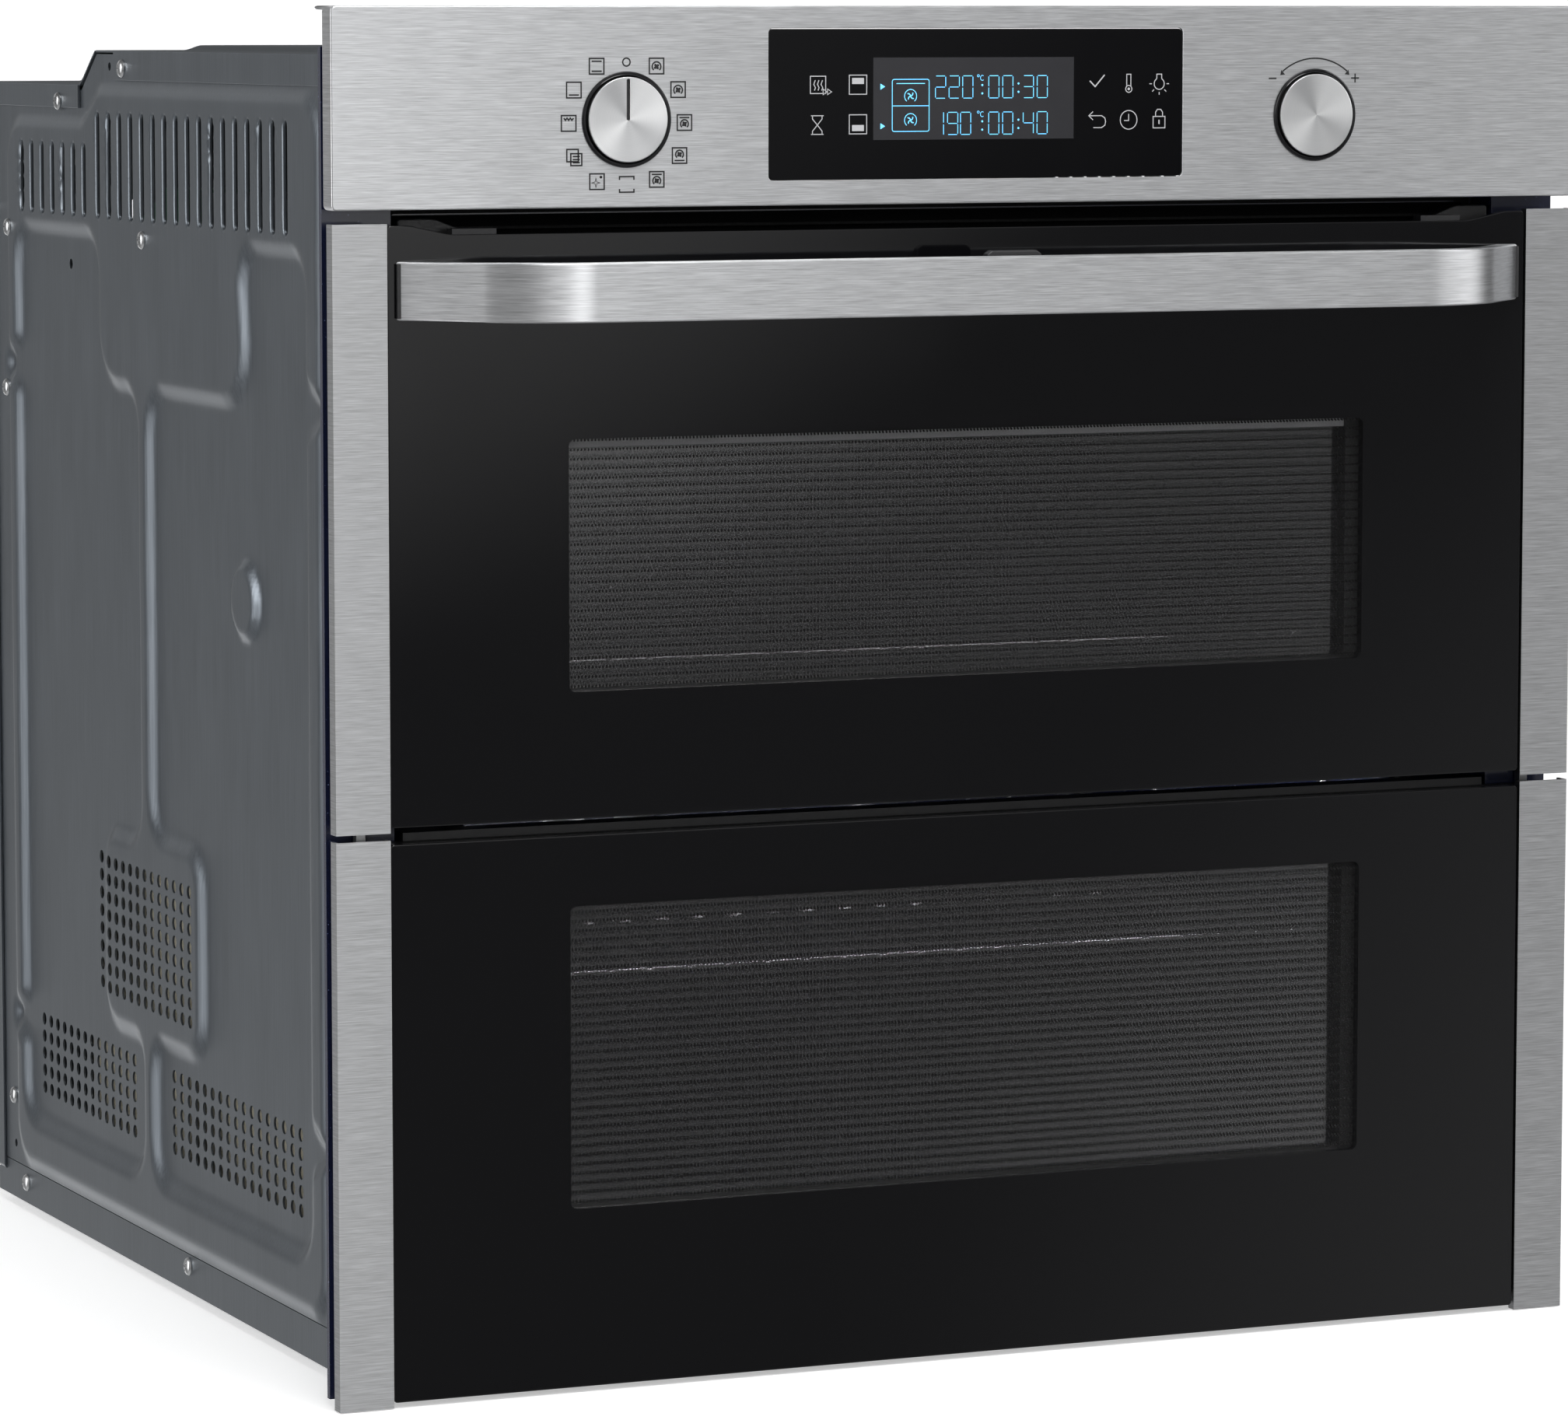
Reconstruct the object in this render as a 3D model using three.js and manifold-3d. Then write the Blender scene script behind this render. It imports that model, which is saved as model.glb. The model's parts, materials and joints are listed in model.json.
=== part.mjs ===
// Built-in oven with a split door: an upper door that opens alone, hinged on a lower door that
// takes it along. Millimetres. +X is to the right seen from the front, the front faces -Y, +Z is up.
// The origin is the middle of the body's underside, where the oven rests on its cabinet shelf.
import * as THREE from 'three';
import { mergeVertices } from 'three/addons/utils/BufferGeometryUtils.js';
import Module from 'manifold-3d';

const wasm = await Module();
wasm.setup();

// ---------------------------------------------------------------- driving dimensions
const FRONT_W = 595;
const FRONT_H = 595;
const FRONT_T = 21; // the front stands this far before the cabinet face
const FRONT_DROP = 4; // and hangs this far below the body's underside
const BODY_W = 560;
const BODY_D = 545;
const SIDE_TOP = 569.3;
const REAR_TOP = 553; // top of the lower, rear part of the body
const STEP_FRONT_Y = 90; // the top steps down between these two
const STEP_REAR_Y = 114;
const SHEET = 1;
const GAP = 0.3;

const PANEL_H = 85.3;
const PANEL_GAP = 5.7; // between the control panel and the upper door
const SPLIT_Z = 240; // top of the lower door
const SPLIT_GAP = 3;
const HINGE_INSET = 6; // both hinge axes run this far behind the face and above the door's edge

const STRIP_W = 24.4;
const STRIP_T = 1.2;
const STRIP_WRAP = 7;
const GLASS_SET = 1.1; // the door glass lies this far behind the strips' face
const GLASS_T = 4;
const GLASS_END = 2; // and ends this far short of the strips
const WINDOW_HALF = 191.2;
const UPPER_WINDOW = [299.6, 407.7];
const LOWER_WINDOW = [76, 207.4];

const KNOB_X = 164.8;
const KNOB_Z = 542.9;
const KNOB_R = 18.25;
const BEZEL_R = 20.4;
const DISPLAY = { half: 99.1, bottom: 516.4, top: 581.4 };

const CAVITY = { half: 226, bottom: 58, top: 438, front: -254.3, back: 190, wall: 2 };
const RECESS = { half: 265, bottom: 4, top: 508, back: -256 };
const FAN_Z = { upper: 342, lower: 152 };
const RAIL_LEVELS = [105, 159.2, 200, 241, 297.2, 350, 400];
const UPPER_RACK_RAIL = 297.2;
const LOWER_RACK_RAIL = 159.2;
const DIVIDER_RAIL = 241;

// ---------------------------------------------------------------- planes worked out from them
const Y_REAR = BODY_D / 2;
const Y_CABINET = -BODY_D / 2;
const Y_FACE = Y_CABINET - FRONT_T;
const Y_GLASS = Y_FACE + GLASS_SET;
const Z_TOP = FRONT_H - FRONT_DROP;
const Z_PANEL = Z_TOP - PANEL_H;
const Z_DOOR_TOP = Z_PANEL - PANEL_GAP;
const Z_UPPER = SPLIT_Z + SPLIT_GAP;
const Y_HINGE = Y_FACE + HINGE_INSET;
const Z_LOWER_HINGE = -FRONT_DROP + HINGE_INSET;
const Z_UPPER_HINGE = Z_UPPER + HINGE_INSET;
const SIDE = BODY_W / 2;
const RIM = SIDE - 2.4; // the side panel's rim lies behind its pressed-out field

// ---------------------------------------------------------------- materials
const FINISH = {
  stainless: [0xb4b5b7, 0.32, 1.0],
  blackGlass: [0x0c0c0d, 0.06, 0.1],
  clearGlass: [0x30353a, 0.08, 0.0],
  blackPlastic: [0x16171a, 0.5, 0.0],
  zinc: [0x6a6e72, 0.5, 0.8],
  enamel: [0x141c36, 0.3, 0.1],
  chrome: [0xc9cbce, 0.18, 1.0],
  knob: [0xcfd0d2, 0.28, 1.0],
  element: [0x3b3a38, 0.6, 0.6],
  fibre: [0xd8d2bd, 0.95, 0.0],
  rubber: [0x2b2b2c, 0.8, 0.0],
  board: [0x1f5a38, 0.6, 0.0],
  motor: [0x8b8d90, 0.45, 0.8],
};

function material(finish) {
  const [color, roughness, metalness] = FINISH[finish];
  return new THREE.MeshStandardMaterial({ color, roughness, metalness });
}

// ---------------------------------------------------------------- geometry helpers
const AXES = {
  x: new THREE.Vector3(1, 0, 0),
  y: new THREE.Vector3(0, 1, 0),
  z: new THREE.Vector3(0, 0, 1),
};

function solid(geometry) {
  const bare = geometry.clone();
  bare.deleteAttribute('normal');
  bare.deleteAttribute('uv');
  const merged = mergeVertices(bare, 1e-4);
  const vertProperties = new Float32Array(merged.attributes.position.array);
  const triVerts = new Uint32Array(merged.index.array);
  return new wasm.Manifold(new wasm.Mesh({ numProp: 3, vertProperties, triVerts }));
}

function toGeometry(body) {
  const mesh = body.getMesh();
  const geometry = new THREE.BufferGeometry();
  geometry.setAttribute('position', new THREE.BufferAttribute(new Float32Array(mesh.vertProperties), 3));
  geometry.setIndex(new THREE.BufferAttribute(new Uint32Array(mesh.triVerts), 1));
  geometry.computeVertexNormals();
  return geometry;
}

function join(...bodies) {
  return bodies.reduce((sum, body) => sum.add(body));
}

function cut(body, ...tools) {
  return tools.reduce((left, tool) => left.subtract(tool), body);
}

// A block between two corners.
function block(x0, x1, y0, y1, z0, z1) {
  const geometry = new THREE.BoxGeometry(x1 - x0, y1 - y0, z1 - z0);
  geometry.translate((x0 + x1) / 2, (y0 + y1) / 2, (z0 + z1) / 2);
  return solid(geometry);
}

// A round bar from `from` to `to` along one axis, centred at (a, b) on the other two in X, Y, Z order.
function bar(axis, a, b, from, to, radius, sides = 16) {
  const geometry = new THREE.CylinderGeometry(radius, radius, to - from, sides);
  const middle = (from + to) / 2;
  if (axis === 'x') {
    geometry.rotateZ(-Math.PI / 2);
    geometry.translate(middle, a, b);
  } else if (axis === 'y') {
    geometry.translate(a, middle, b);
  } else {
    geometry.rotateX(Math.PI / 2);
    geometry.translate(a, b, middle);
  }
  return solid(geometry);
}

function extrude(shape, depth, basis, offset, segments) {
  const options = { depth, bevelEnabled: false, curveSegments: segments };
  const geometry = new THREE.ExtrudeGeometry(shape, options);
  geometry.applyMatrix4(new THREE.Matrix4().makeBasis(...basis));
  geometry.translate(...offset);
  return solid(geometry);
}

// Outlines drawn in XY, XZ or YZ, and extruded along the third axis.
function slabXY(shape, z0, z1, segments = 4) {
  return extrude(shape, z1 - z0, [AXES.x, AXES.y, AXES.z], [0, 0, z0], segments);
}

function slabXZ(shape, y0, y1, segments = 4) {
  return extrude(shape, y1 - y0, [AXES.x, AXES.z, AXES.y.clone().negate()], [0, y1, 0], segments);
}

function slabYZ(shape, x0, x1, segments = 4) {
  return extrude(shape, x1 - x0, [AXES.y, AXES.z, AXES.x], [x0, 0, 0], segments);
}

function outline(points) {
  return new THREE.Shape(points.map(([u, v]) => new THREE.Vector2(u, v)));
}

function roundedRect(u0, u1, v0, v1, radius) {
  const shape = new THREE.Shape();
  shape.moveTo(u0 + radius, v0);
  shape.lineTo(u1 - radius, v0);
  shape.absarc(u1 - radius, v0 + radius, radius, -Math.PI / 2, 0, false);
  shape.lineTo(u1, v1 - radius);
  shape.absarc(u1 - radius, v1 - radius, radius, 0, Math.PI / 2, false);
  shape.lineTo(u0 + radius, v1);
  shape.absarc(u0 + radius, v1 - radius, radius, Math.PI / 2, Math.PI, false);
  shape.lineTo(u0, v0 + radius);
  shape.absarc(u0 + radius, v0 + radius, radius, Math.PI, 1.5 * Math.PI, false);
  return shape;
}

function rounds(count, radius) {
  const points = [];
  for (let i = 0; i < count; i += 1) {
    const angle = (2 * Math.PI * i) / count;
    points.push(new THREE.Vector2(radius * Math.cos(angle), radius * Math.sin(angle)));
  }
  return new THREE.Shape(points);
}

// A bent rod through the points, its corners rounded: one step along each straight, three in each bend.
class RodPath extends THREE.Curve {
  constructor(points, bend) {
    super();
    const corners = points.map((p) => new THREE.Vector3(...p));
    this.samples = [corners[0]];
    for (let i = 1; i < corners.length - 1; i += 1) {
      const corner = corners[i];
      const before = corner.clone().sub(corners[i - 1]).normalize();
      const after = corners[i + 1].clone().sub(corner).normalize();
      const start = corner.clone().addScaledVector(before, -bend);
      const end = corner.clone().addScaledVector(after, bend);
      const arc = new THREE.QuadraticBezierCurve3(start, corner, end);
      this.samples.push(...arc.getPoints(3));
    }
    this.samples.push(corners[corners.length - 1]);
    this.steps = this.samples.length - 1;
  }

  getPoint(t) {
    const place = t * this.steps;
    const i = Math.min(Math.floor(place + 1e-9), this.steps - 1);
    return this.samples[i].clone().lerp(this.samples[i + 1], place - i);
  }

  getPointAt(u) {
    return this.getPoint(u);
  }

  getTangentAt(u) {
    const half = 0.5 / this.steps;
    const ahead = this.getPoint(Math.min(u + half, 1));
    return ahead.sub(this.getPoint(Math.max(u - half, 0))).normalize();
  }
}

function rod(points, radius, bend, sides = 6) {
  const path = new RodPath(points, bend);
  const options = { steps: path.steps, bevelEnabled: false, extrudePath: path };
  return solid(new THREE.ExtrudeGeometry(rounds(sides, radius), options));
}

// A body and its mirror image in the plane x = 0.
function mirrorX(body) {
  return body.mirror([1, 0, 0]);
}

// ---------------------------------------------------------------- the group
const oven = new THREE.Group();
oven.name = 'oven';

function part(name, body, finish) {
  const mesh = new THREE.Mesh(toGeometry(body), material(finish));
  mesh.name = name;
  oven.add(mesh);
}

// A sub-part that comes in a left and a right hand.
function pair(leftName, rightName, leftBody, finish) {
  part(leftName, leftBody, finish);
  part(rightName, mirrorX(leftBody), finish);
}

// ---------------------------------------------------------------- casing
const BASE = { skirt: 17.8, rearDrop: 11.5, rear: Y_REAR - 3.3, ventHalf: 5, ventFront: 60, ventRear: 200 };

function basePlate() {
  const { skirt, rearDrop, rear, ventHalf, ventFront, ventRear } = BASE;
  const front = Y_CABINET + GAP;
  const tray = block(-RIM, RIM, front, rear, 0, skirt);
  const inside = block(-RIM + SHEET, RIM - SHEET, front - 5, rear - SHEET, SHEET, skirt + 5);
  const dropped = block(-RIM - 1, RIM + 1, rear - SHEET - 1, rear + 1, rearDrop, skirt + 5);
  let plate = cut(tray, inside, dropped);
  for (const x of [-200, -160, 160, 200]) {
    plate = cut(plate, block(x - ventHalf, x + ventHalf, ventFront, ventRear, -1, 2 * SHEET));
  }
  part('base_plate', plate, 'zinc');
}

// Pressings of the side panel, in Y and Z. `grow` widens each one for the sheet's inner skin.
const RAISED = { front: -226, rear: 231.5, bottom: 22.2, top: 549, rearTop: 533, radius: 22 };
const SLOTS = { bottom: 492.2, longTop: 541.4, shortTop: 526.4, width: 6, pitch: 16.65 };
const LONG_SLOTS = { count: 17, firstY: 82.5 };
const SHORT_SLOTS = { count: 7, firstY: 204 };
const SUNK = { depth: 3.5, radius: 12, bottom: 46, top: 486 };
const SUNK_REAR = { rear: 216, neck: 86.5, front: 29.4, low: 112, middle: 203, high: 416 };
const SUNK_FRONT = {
  front: -205.7,
  upper: -118.7,
  neck: -56.7,
  rear: 12.9,
  low: 113,
  middle: 208,
  high: 416,
};
const BOSS = { y: -119.5, z: 328, radius: 18.6, below: 0.2 };

function raisedField(grow, x0, x1) {
  const { front, rear, bottom, top, rearTop, radius } = RAISED;
  const r = radius + grow;
  const tall = roundedRect(front - grow, STEP_FRONT_Y + grow, bottom - grow, top + grow, r);
  const low = roundedRect(front - grow, rear + grow, bottom - grow, rearTop + grow, r);
  return join(slabYZ(tall, x0, x1, 2), slabYZ(low, x0, x1, 2));
}

function sunkFields(grow, x0, x1) {
  const { radius, bottom, top } = SUNK;
  const r = SUNK_REAR;
  const f = SUNK_FRONT;
  const areas = [
    [r.neck, r.rear, bottom, top],
    [r.front, r.rear, r.middle, r.high],
    [r.front, r.rear, bottom, r.low],
    [f.front, f.upper, bottom, top],
    [f.front, f.neck, bottom, f.high],
    [f.front, f.rear, f.middle, f.high],
    [f.front, f.rear, bottom, f.low],
  ];
  const fields = areas.map(([y0, y1, z0, z1]) => {
    const shape = roundedRect(y0 - grow, y1 + grow, z0 - grow, z1 + grow, radius);
    return slabYZ(shape, x0, x1, 1);
  });
  return join(...fields);
}

function pressedSide(shift, grow) {
  const inner = -RIM + 20; // deep enough for the hollow to pass right through the sheet
  const front = Y_CABINET + GAP;
  const rear = Y_REAR - 4;
  const bottom = BASE.skirt + 0.4;
  const rearTop = REAR_TOP - 1.4;
  const frontTop = SIDE_TOP - 0.6;
  const points = [
    [front, bottom],
    [rear, bottom],
    [rear, rearTop],
    [STEP_REAR_Y - 1, rearTop],
    [STEP_FRONT_Y - 1, frontTop],
    [front, frontTop],
  ];
  const rim = slabYZ(outline(points), -RIM + shift, inner);
  const raised = raisedField(-grow, -SIDE + shift, inner);
  const sunk = sunkFields(grow, -SIDE - 5, -SIDE + SUNK.depth + shift);
  const boss = bar('x', BOSS.y, BOSS.z, -SIDE + BOSS.below + shift, inner, BOSS.radius - grow, 12);
  return join(cut(join(rim, raised), sunk), boss);
}

function sidePanels() {
  const skin = pressedSide(0, 0);
  const hollow = pressedSide(SHEET, SHEET);
  let panel = cut(skin, hollow);
  const slot = (y, top) => {
    const half = SLOTS.width / 2;
    return block(-SIDE - 5, -RIM + 5, y - half, y + half, SLOTS.bottom, top);
  };
  for (let i = 0; i < LONG_SLOTS.count; i += 1) {
    panel = cut(panel, slot(LONG_SLOTS.firstY - i * SLOTS.pitch, SLOTS.longTop));
  }
  for (let i = 0; i < SHORT_SLOTS.count; i += 1) {
    panel = cut(panel, slot(SHORT_SLOTS.firstY - i * SLOTS.pitch, SLOTS.shortTop));
  }
  pair('left_side_panel', 'right_side_panel', panel, 'zinc');
}

const COVER_HALF = RIM + 1.3; // the covers' side flanges lap over the side panels' rim
const FRONT_COVER = { under: SIDE_TOP + 0.2, flangeBottom: 556.7, flangeRear: 60 };
const REAR_COVER = { under: REAR_TOP + 0.5, flangeBottom: 543, rear: Y_REAR - 17 };
const PILLOW = { half: 235, rise: 2.4, front: -262, rear: STEP_FRONT_Y - 6 }; // pressed up on top
const LOUVRE = { half: 15, front: 215, rear: 221, pitch: 50, count: 9 };

function topCovers() {
  const half = COVER_HALF;
  const inner = half - SHEET;
  const front = Y_CABINET + GAP;
  const { under, flangeBottom, flangeRear } = FRONT_COVER;
  const top = under + SHEET;
  const flange = block(inner, half, front, flangeRear, flangeBottom, top);
  const lid = block(-half, half, front, STEP_FRONT_Y - 2, under, top);
  const { half: p, rise, front: p0, rear: p1 } = PILLOW;
  const raised = block(-p, p, p0, p1, under, top + rise);
  const hollow = block(-p + SHEET, p - SHEET, p0 + SHEET, p1 - SHEET, under - 1, top + rise - SHEET);
  part('top_cover_front', cut(join(lid, flange, mirrorX(flange), raised), hollow), 'zinc');

  const { under: low, flangeBottom: z0, rear } = REAR_COVER;
  const profile = outline([
    [STEP_FRONT_Y, top],
    [STEP_FRONT_Y, top - 1.3],
    [STEP_REAR_Y, low],
    [rear, low],
    [rear, low + SHEET],
    [STEP_REAR_Y + 0.6, low + SHEET],
  ]);
  const rearFlange = block(inner, half, STEP_REAR_Y + 2, rear, z0, low + 0.5);
  let cover = join(slabYZ(profile, -half, half), rearFlange, mirrorX(rearFlange));
  for (let i = 0; i < LOUVRE.count; i += 1) {
    const x = (i - (LOUVRE.count - 1) / 2) * LOUVRE.pitch;
    cover = cut(cover, block(x - LOUVRE.half, x + LOUVRE.half, LOUVRE.front, LOUVRE.rear, low - 2, low + 3));
  }
  part('top_cover_rear', cover, 'zinc');
}

const BACK = { depth: 16.5, bottom: 12, openBottom: 5 };
const BACK_SLOTS = { rows: [60, 470], count: 9, firstX: -200, pitch: 40, half: 3, height: 26 };
const TERMINAL = { left: 180, right: 250, bottom: 492, top: 540 }; // block at the back, top right

function backCover() {
  const half = COVER_HALF;
  const front = Y_REAR - BACK.depth;
  const shell = block(-half, half, front, Y_REAR, BACK.bottom, REAR_TOP);
  const [side, rear, top] = [half - SHEET, Y_REAR - SHEET, REAR_TOP - SHEET];
  const inside = block(-side, side, front - 5, rear, BACK.openBottom, top);
  let cover = cut(shell, inside);
  const { rows, count, firstX, pitch, half: slotHalf, height } = BACK_SLOTS;
  for (const z of rows) {
    for (let i = 0; i < count; i += 1) {
      const x = firstX + i * pitch;
      cover = cut(cover, block(x - slotHalf, x + slotHalf, Y_REAR - 3, Y_REAR + 3, z, z + height));
    }
  }
  const { left, right, bottom, top: terminalTop } = TERMINAL;
  const opening = block(left - 1, right + 1, Y_REAR - 5, Y_REAR + 5, bottom - 0.5, terminalTop + 1);
  part('back_cover', cut(cover, opening), 'zinc');
}

const FLANGE = { half: 295.8, depth: 3.2, bottom: -1.5, top: 574 }; // lies on the cabinet's face
const OUTLET = { half: 18, bottom: 471, top: 500, pitch: 42, count: 11 };
const CONTROLS = { half: 270, bottom: 512, top: 566 };

function frontFrame() {
  const { half, bottom: low, top: high } = FLANGE;
  const front = Y_CABINET - FLANGE.depth;
  const plate = block(-half, half, front, Y_CABINET - GAP, low, high);
  // The strips beside the body lie on the cabinet's faces.
  const strip = block(-half, -SIDE - 1, Y_CABINET - 1, Y_CABINET, low, high);
  const flange = join(plate, strip, mirrorX(strip));
  const { half: r, bottom, top, back } = RECESS;
  const tub = block(-r - 1, r + 1, Y_CABINET - 1, back + 1.2, bottom - 1, top + 1);
  const recess = block(-r, r, front - 5, back, bottom, top);
  const mouth = block(-CAVITY.half, CAVITY.half, back - 1, back + 5, CAVITY.bottom, CAVITY.top);
  const { half: c, bottom: c0, top: c1 } = CONTROLS;
  const controls = block(-c, c, front - 5, Y_CABINET + 5, c0, c1);
  let frame = cut(join(flange, tub), recess, mouth, controls);
  for (let i = 0; i < OUTLET.count; i += 1) {
    const x = (i - (OUTLET.count - 1) / 2) * OUTLET.pitch;
    const { half: o, bottom: o0, top: o1 } = OUTLET;
    frame = cut(frame, block(x - o, x + o, back - 1, back + 5, o0, o1));
  }
  for (const x of [-288, 288]) {
    for (const z of [110, 430]) {
      frame = cut(frame, bar('y', x, z, front - 1, Y_CABINET + 1, 2.5, 8));
    }
  }
  part('front_frame', frame, 'enamel');
}

// ---------------------------------------------------------------- cavity
const LAMP = { x: -188, z: 395, hole: 15, cup: 24, glass: 4, bulb: 9, holder: 19 };
const SHAFT_HOLE = 7;
const BACK_WALL = CAVITY.back - GAP; // what hangs on the back wall ends here

function cavityLiner() {
  const { half, bottom, top, front, back, wall } = CAVITY;
  const shell = block(-half - wall, half + wall, front, back + wall, bottom - wall, top + wall);
  const inside = block(-half, half, front - 5, back, bottom, top);
  const fanHoles = Object.values(FAN_Z).map((z) => bar('y', 0, z, back - 5, back + 5, SHAFT_HOLE, 10));
  const lampHole = bar('y', LAMP.x, LAMP.z, back - 5, back + 5, LAMP.hole, 12);
  part('cavity_liner', cut(shell, inside, lampHole, ...fanHoles), 'enamel');
}

function insulation() {
  const gap = 1; // round the liner
  const thick = { side: 23, below: 14, above: 21 };
  const side = CAVITY.half + CAVITY.wall + gap;
  const bottom = CAVITY.bottom - CAVITY.wall - 15;
  const top = CAVITY.top + CAVITY.wall + gap;
  const rear = CAVITY.back + 1.7;
  const half = side + thick.side;
  const sleeve = block(-half, half, -250, rear, bottom - 17, top + thick.above);
  part('insulation_blanket', cut(sleeve, block(-side, side, -260, rear + 8, bottom, top)), 'fibre');
}

const GASKET = { half: 235, bottom: 50, top: 446, radius: 14, width: 6, front: -260.2 };

function gasket() {
  const { half, bottom, top, radius, width, front } = GASKET;
  const back = RECESS.back - GAP;
  const ring = slabXZ(roundedRect(-half, half, bottom, top, radius), front, back, 3);
  const inner = roundedRect(-half + width, half - width, bottom + width, top - width, radius - width);
  part('cavity_gasket', cut(ring, slabXZ(inner, front - 10, back + 6, 3)), 'rubber');
}

const RAIL = { x: 217, r: 2.5, front: -225, rear: 143 };
const POST = { x: 221, bottom: 75, top: 425, places: [-200, -28, 138] };

function shelfSupports() {
  const rails = RAIL_LEVELS.map((z) => bar('y', -RAIL.x, z, RAIL.front, RAIL.rear, RAIL.r, 6));
  const posts = POST.places.map((y) => bar('z', -POST.x, y, POST.bottom, POST.top, RAIL.r, 6));
  pair('left_shelf_support', 'right_shelf_support', join(...rails, ...posts), 'chrome');
}

const RACK = { half: 214, front: -213, rear: 143, above: 5.8, edge: 3, brace: 2 };
const RACK_RODS = { radius: 1.6, pitch: 18.9, count: 22, above: 0.4 };

function wireRack(name, rail) {
  const { half, front, rear, edge, brace } = RACK;
  const { radius, pitch, count, above } = RACK_RODS;
  const z = rail + RACK.above;
  const edges = [
    bar('x', front, z, -half - edge, half + edge, edge, 6),
    bar('x', rear, z, -half - edge, half + edge, edge, 6),
    bar('y', -half, z, front, rear, edge, 6),
    bar('y', half, z, front, rear, edge, 6),
    bar('x', (front + rear) / 2, z - brace, -half, half, brace, 4),
  ];
  const rods = [];
  for (let i = 0; i < count; i += 1) {
    const x = (i - (count - 1) / 2) * pitch;
    rods.push(bar('y', x, z + above, front, rear, radius, 4));
  }
  part(name, join(...edges, ...rods), 'chrome');
}

const DIVIDER = { half: 218, front: -244, rear: 148, thick: 6, above: 2.9 };
const DIVIDER_LIP = { half: 205, front: -252, rise: 3 };

function dividerPlate() {
  const { half, front, rear, thick, above } = DIVIDER;
  const lip = DIVIDER_LIP;
  const z = DIVIDER_RAIL + above;
  const plate = block(-half, half, front, rear, z, z + thick);
  const edge = block(-lip.half, lip.half, lip.front, front + 1, z - lip.rise, z + thick + lip.rise);
  part('divider_plate', join(plate, edge), 'enamel');
}

const ELEMENT_R = 3.3;
const GRILL = { z: 424, half: 175, front: -205, rear: 120, pitch: 50, loops: 6, bend: 18 };
const FLOOR_HEAT = { z: 48.5, half: 180, front: -190, rear: 130, lead: 60, end: 187, bend: 25 };
const RING = { radius: 84, y: 170, lead: 70, leadR: 3 };

function grillElement() {
  const { z, half, front, rear, pitch, loops, bend } = GRILL;
  const points = [[-half, BACK_WALL - GAP, z], [-half, front, z]];
  for (let i = 0; i < loops; i += 1) {
    const x = (i - (loops - 1) / 2) * pitch;
    const [first, second] = i % 2 === 0 ? [front, rear] : [rear, front];
    points.push([x, first, z], [x, second, z]);
  }
  points.push([half, front, z], [half, BACK_WALL - GAP, z]);
  part('grill_element', rod(points, ELEMENT_R, bend), 'element');
}

function bottomElement() {
  const { z, half, front, rear, lead, end, bend } = FLOOR_HEAT;
  const points = [[-lead, end, z], [-lead, rear, z], [-half, rear, z], [-half, front, z]];
  points.push([half, front, z], [half, rear, z], [lead, rear, z], [lead, end, z]);
  part('bottom_element', rod(points, ELEMENT_R, bend), 'element');
}

function ringElement(name, z) {
  const { radius, y, lead, leadR } = RING;
  const torus = new THREE.TorusGeometry(radius, ELEMENT_R, 5, 24);
  torus.rotateX(Math.PI / 2);
  torus.translate(0, y, z);
  const rise = Math.sqrt(radius * radius - lead * lead);
  const terminals = [-lead, lead].map((x) => bar('y', x, z + rise, y, CAVITY.back - 0.4, leadR, 6));
  part(name, join(solid(torus), ...terminals), 'element');
}

const BAFFLE = { half: 150, front: 150, bottom: 62, top: 434, skin: 1.2, shelf: 246 };
const INLET = { count: 6, radius: 12, circle: 38 };
const SIDE_SLIT = { levels: [-60, 0, 60], half: 20, front: 165, rear: 182 };

function fanBaffle() {
  const { half, front, bottom, top, skin, shelf } = BAFFLE;
  const back = CAVITY.back - 0.4;
  const shell = block(-half, half, front, back, bottom, top);
  const room = (z0, z1) => block(-half + skin, half - skin, front + skin, back + 5, z0, z1);
  let baffle = cut(shell, room(bottom + skin, shelf), room(shelf + skin, top - skin));
  for (const z of Object.values(FAN_Z)) {
    for (let i = 0; i < INLET.count; i += 1) {
      const angle = (2 * Math.PI * i) / INLET.count;
      const [x, rise] = [INLET.circle * Math.cos(angle), INLET.circle * Math.sin(angle)];
      baffle = cut(baffle, bar('y', x, z + rise, front - 5, front + 5, INLET.radius, 8));
    }
    for (const dz of SIDE_SLIT.levels) {
      const { half: s, front: y0, rear: y1 } = SIDE_SLIT;
      baffle = cut(baffle, block(-half - 10, half + 10, y0, y1, z + dz - s, z + dz + s));
    }
  }
  part('fan_baffle', baffle, 'enamel');
}

const FAN = { disc: 72, blades: 8, blade: [34, 20, 2], reach: 56, y: 171, pitchAngle: 0.5 };

function convectionFan(name, z) {
  const spindle = bar('y', 0, z, 160, 222, 4, 10);
  const hub = bar('y', 0, z, 158, 184, 12, 12);
  const disc = bar('y', 0, z, 180, 182, FAN.disc, 20);
  const blades = [];
  for (let i = 0; i < FAN.blades; i += 1) {
    const geometry = new THREE.BoxGeometry(...FAN.blade);
    geometry.rotateY(FAN.pitchAngle);
    geometry.translate(FAN.reach, FAN.y, 0);
    geometry.rotateY((2 * Math.PI * i) / FAN.blades);
    geometry.translate(0, 0, z);
    blades.push(solid(geometry));
  }
  part(name, join(spindle, hub, disc, ...blades), 'motor');
}

function convectionMotor(name, z) {
  const body = bar('y', 0, z, 200, 240, 32, 20);
  const bracket = block(-46, 46, 196, 201, z - 12, z + 12);
  const bore = bar('y', 0, z, 190, 228, 4.4, 10);
  part(name, cut(join(body, bracket), bore), 'motor');
}

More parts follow.
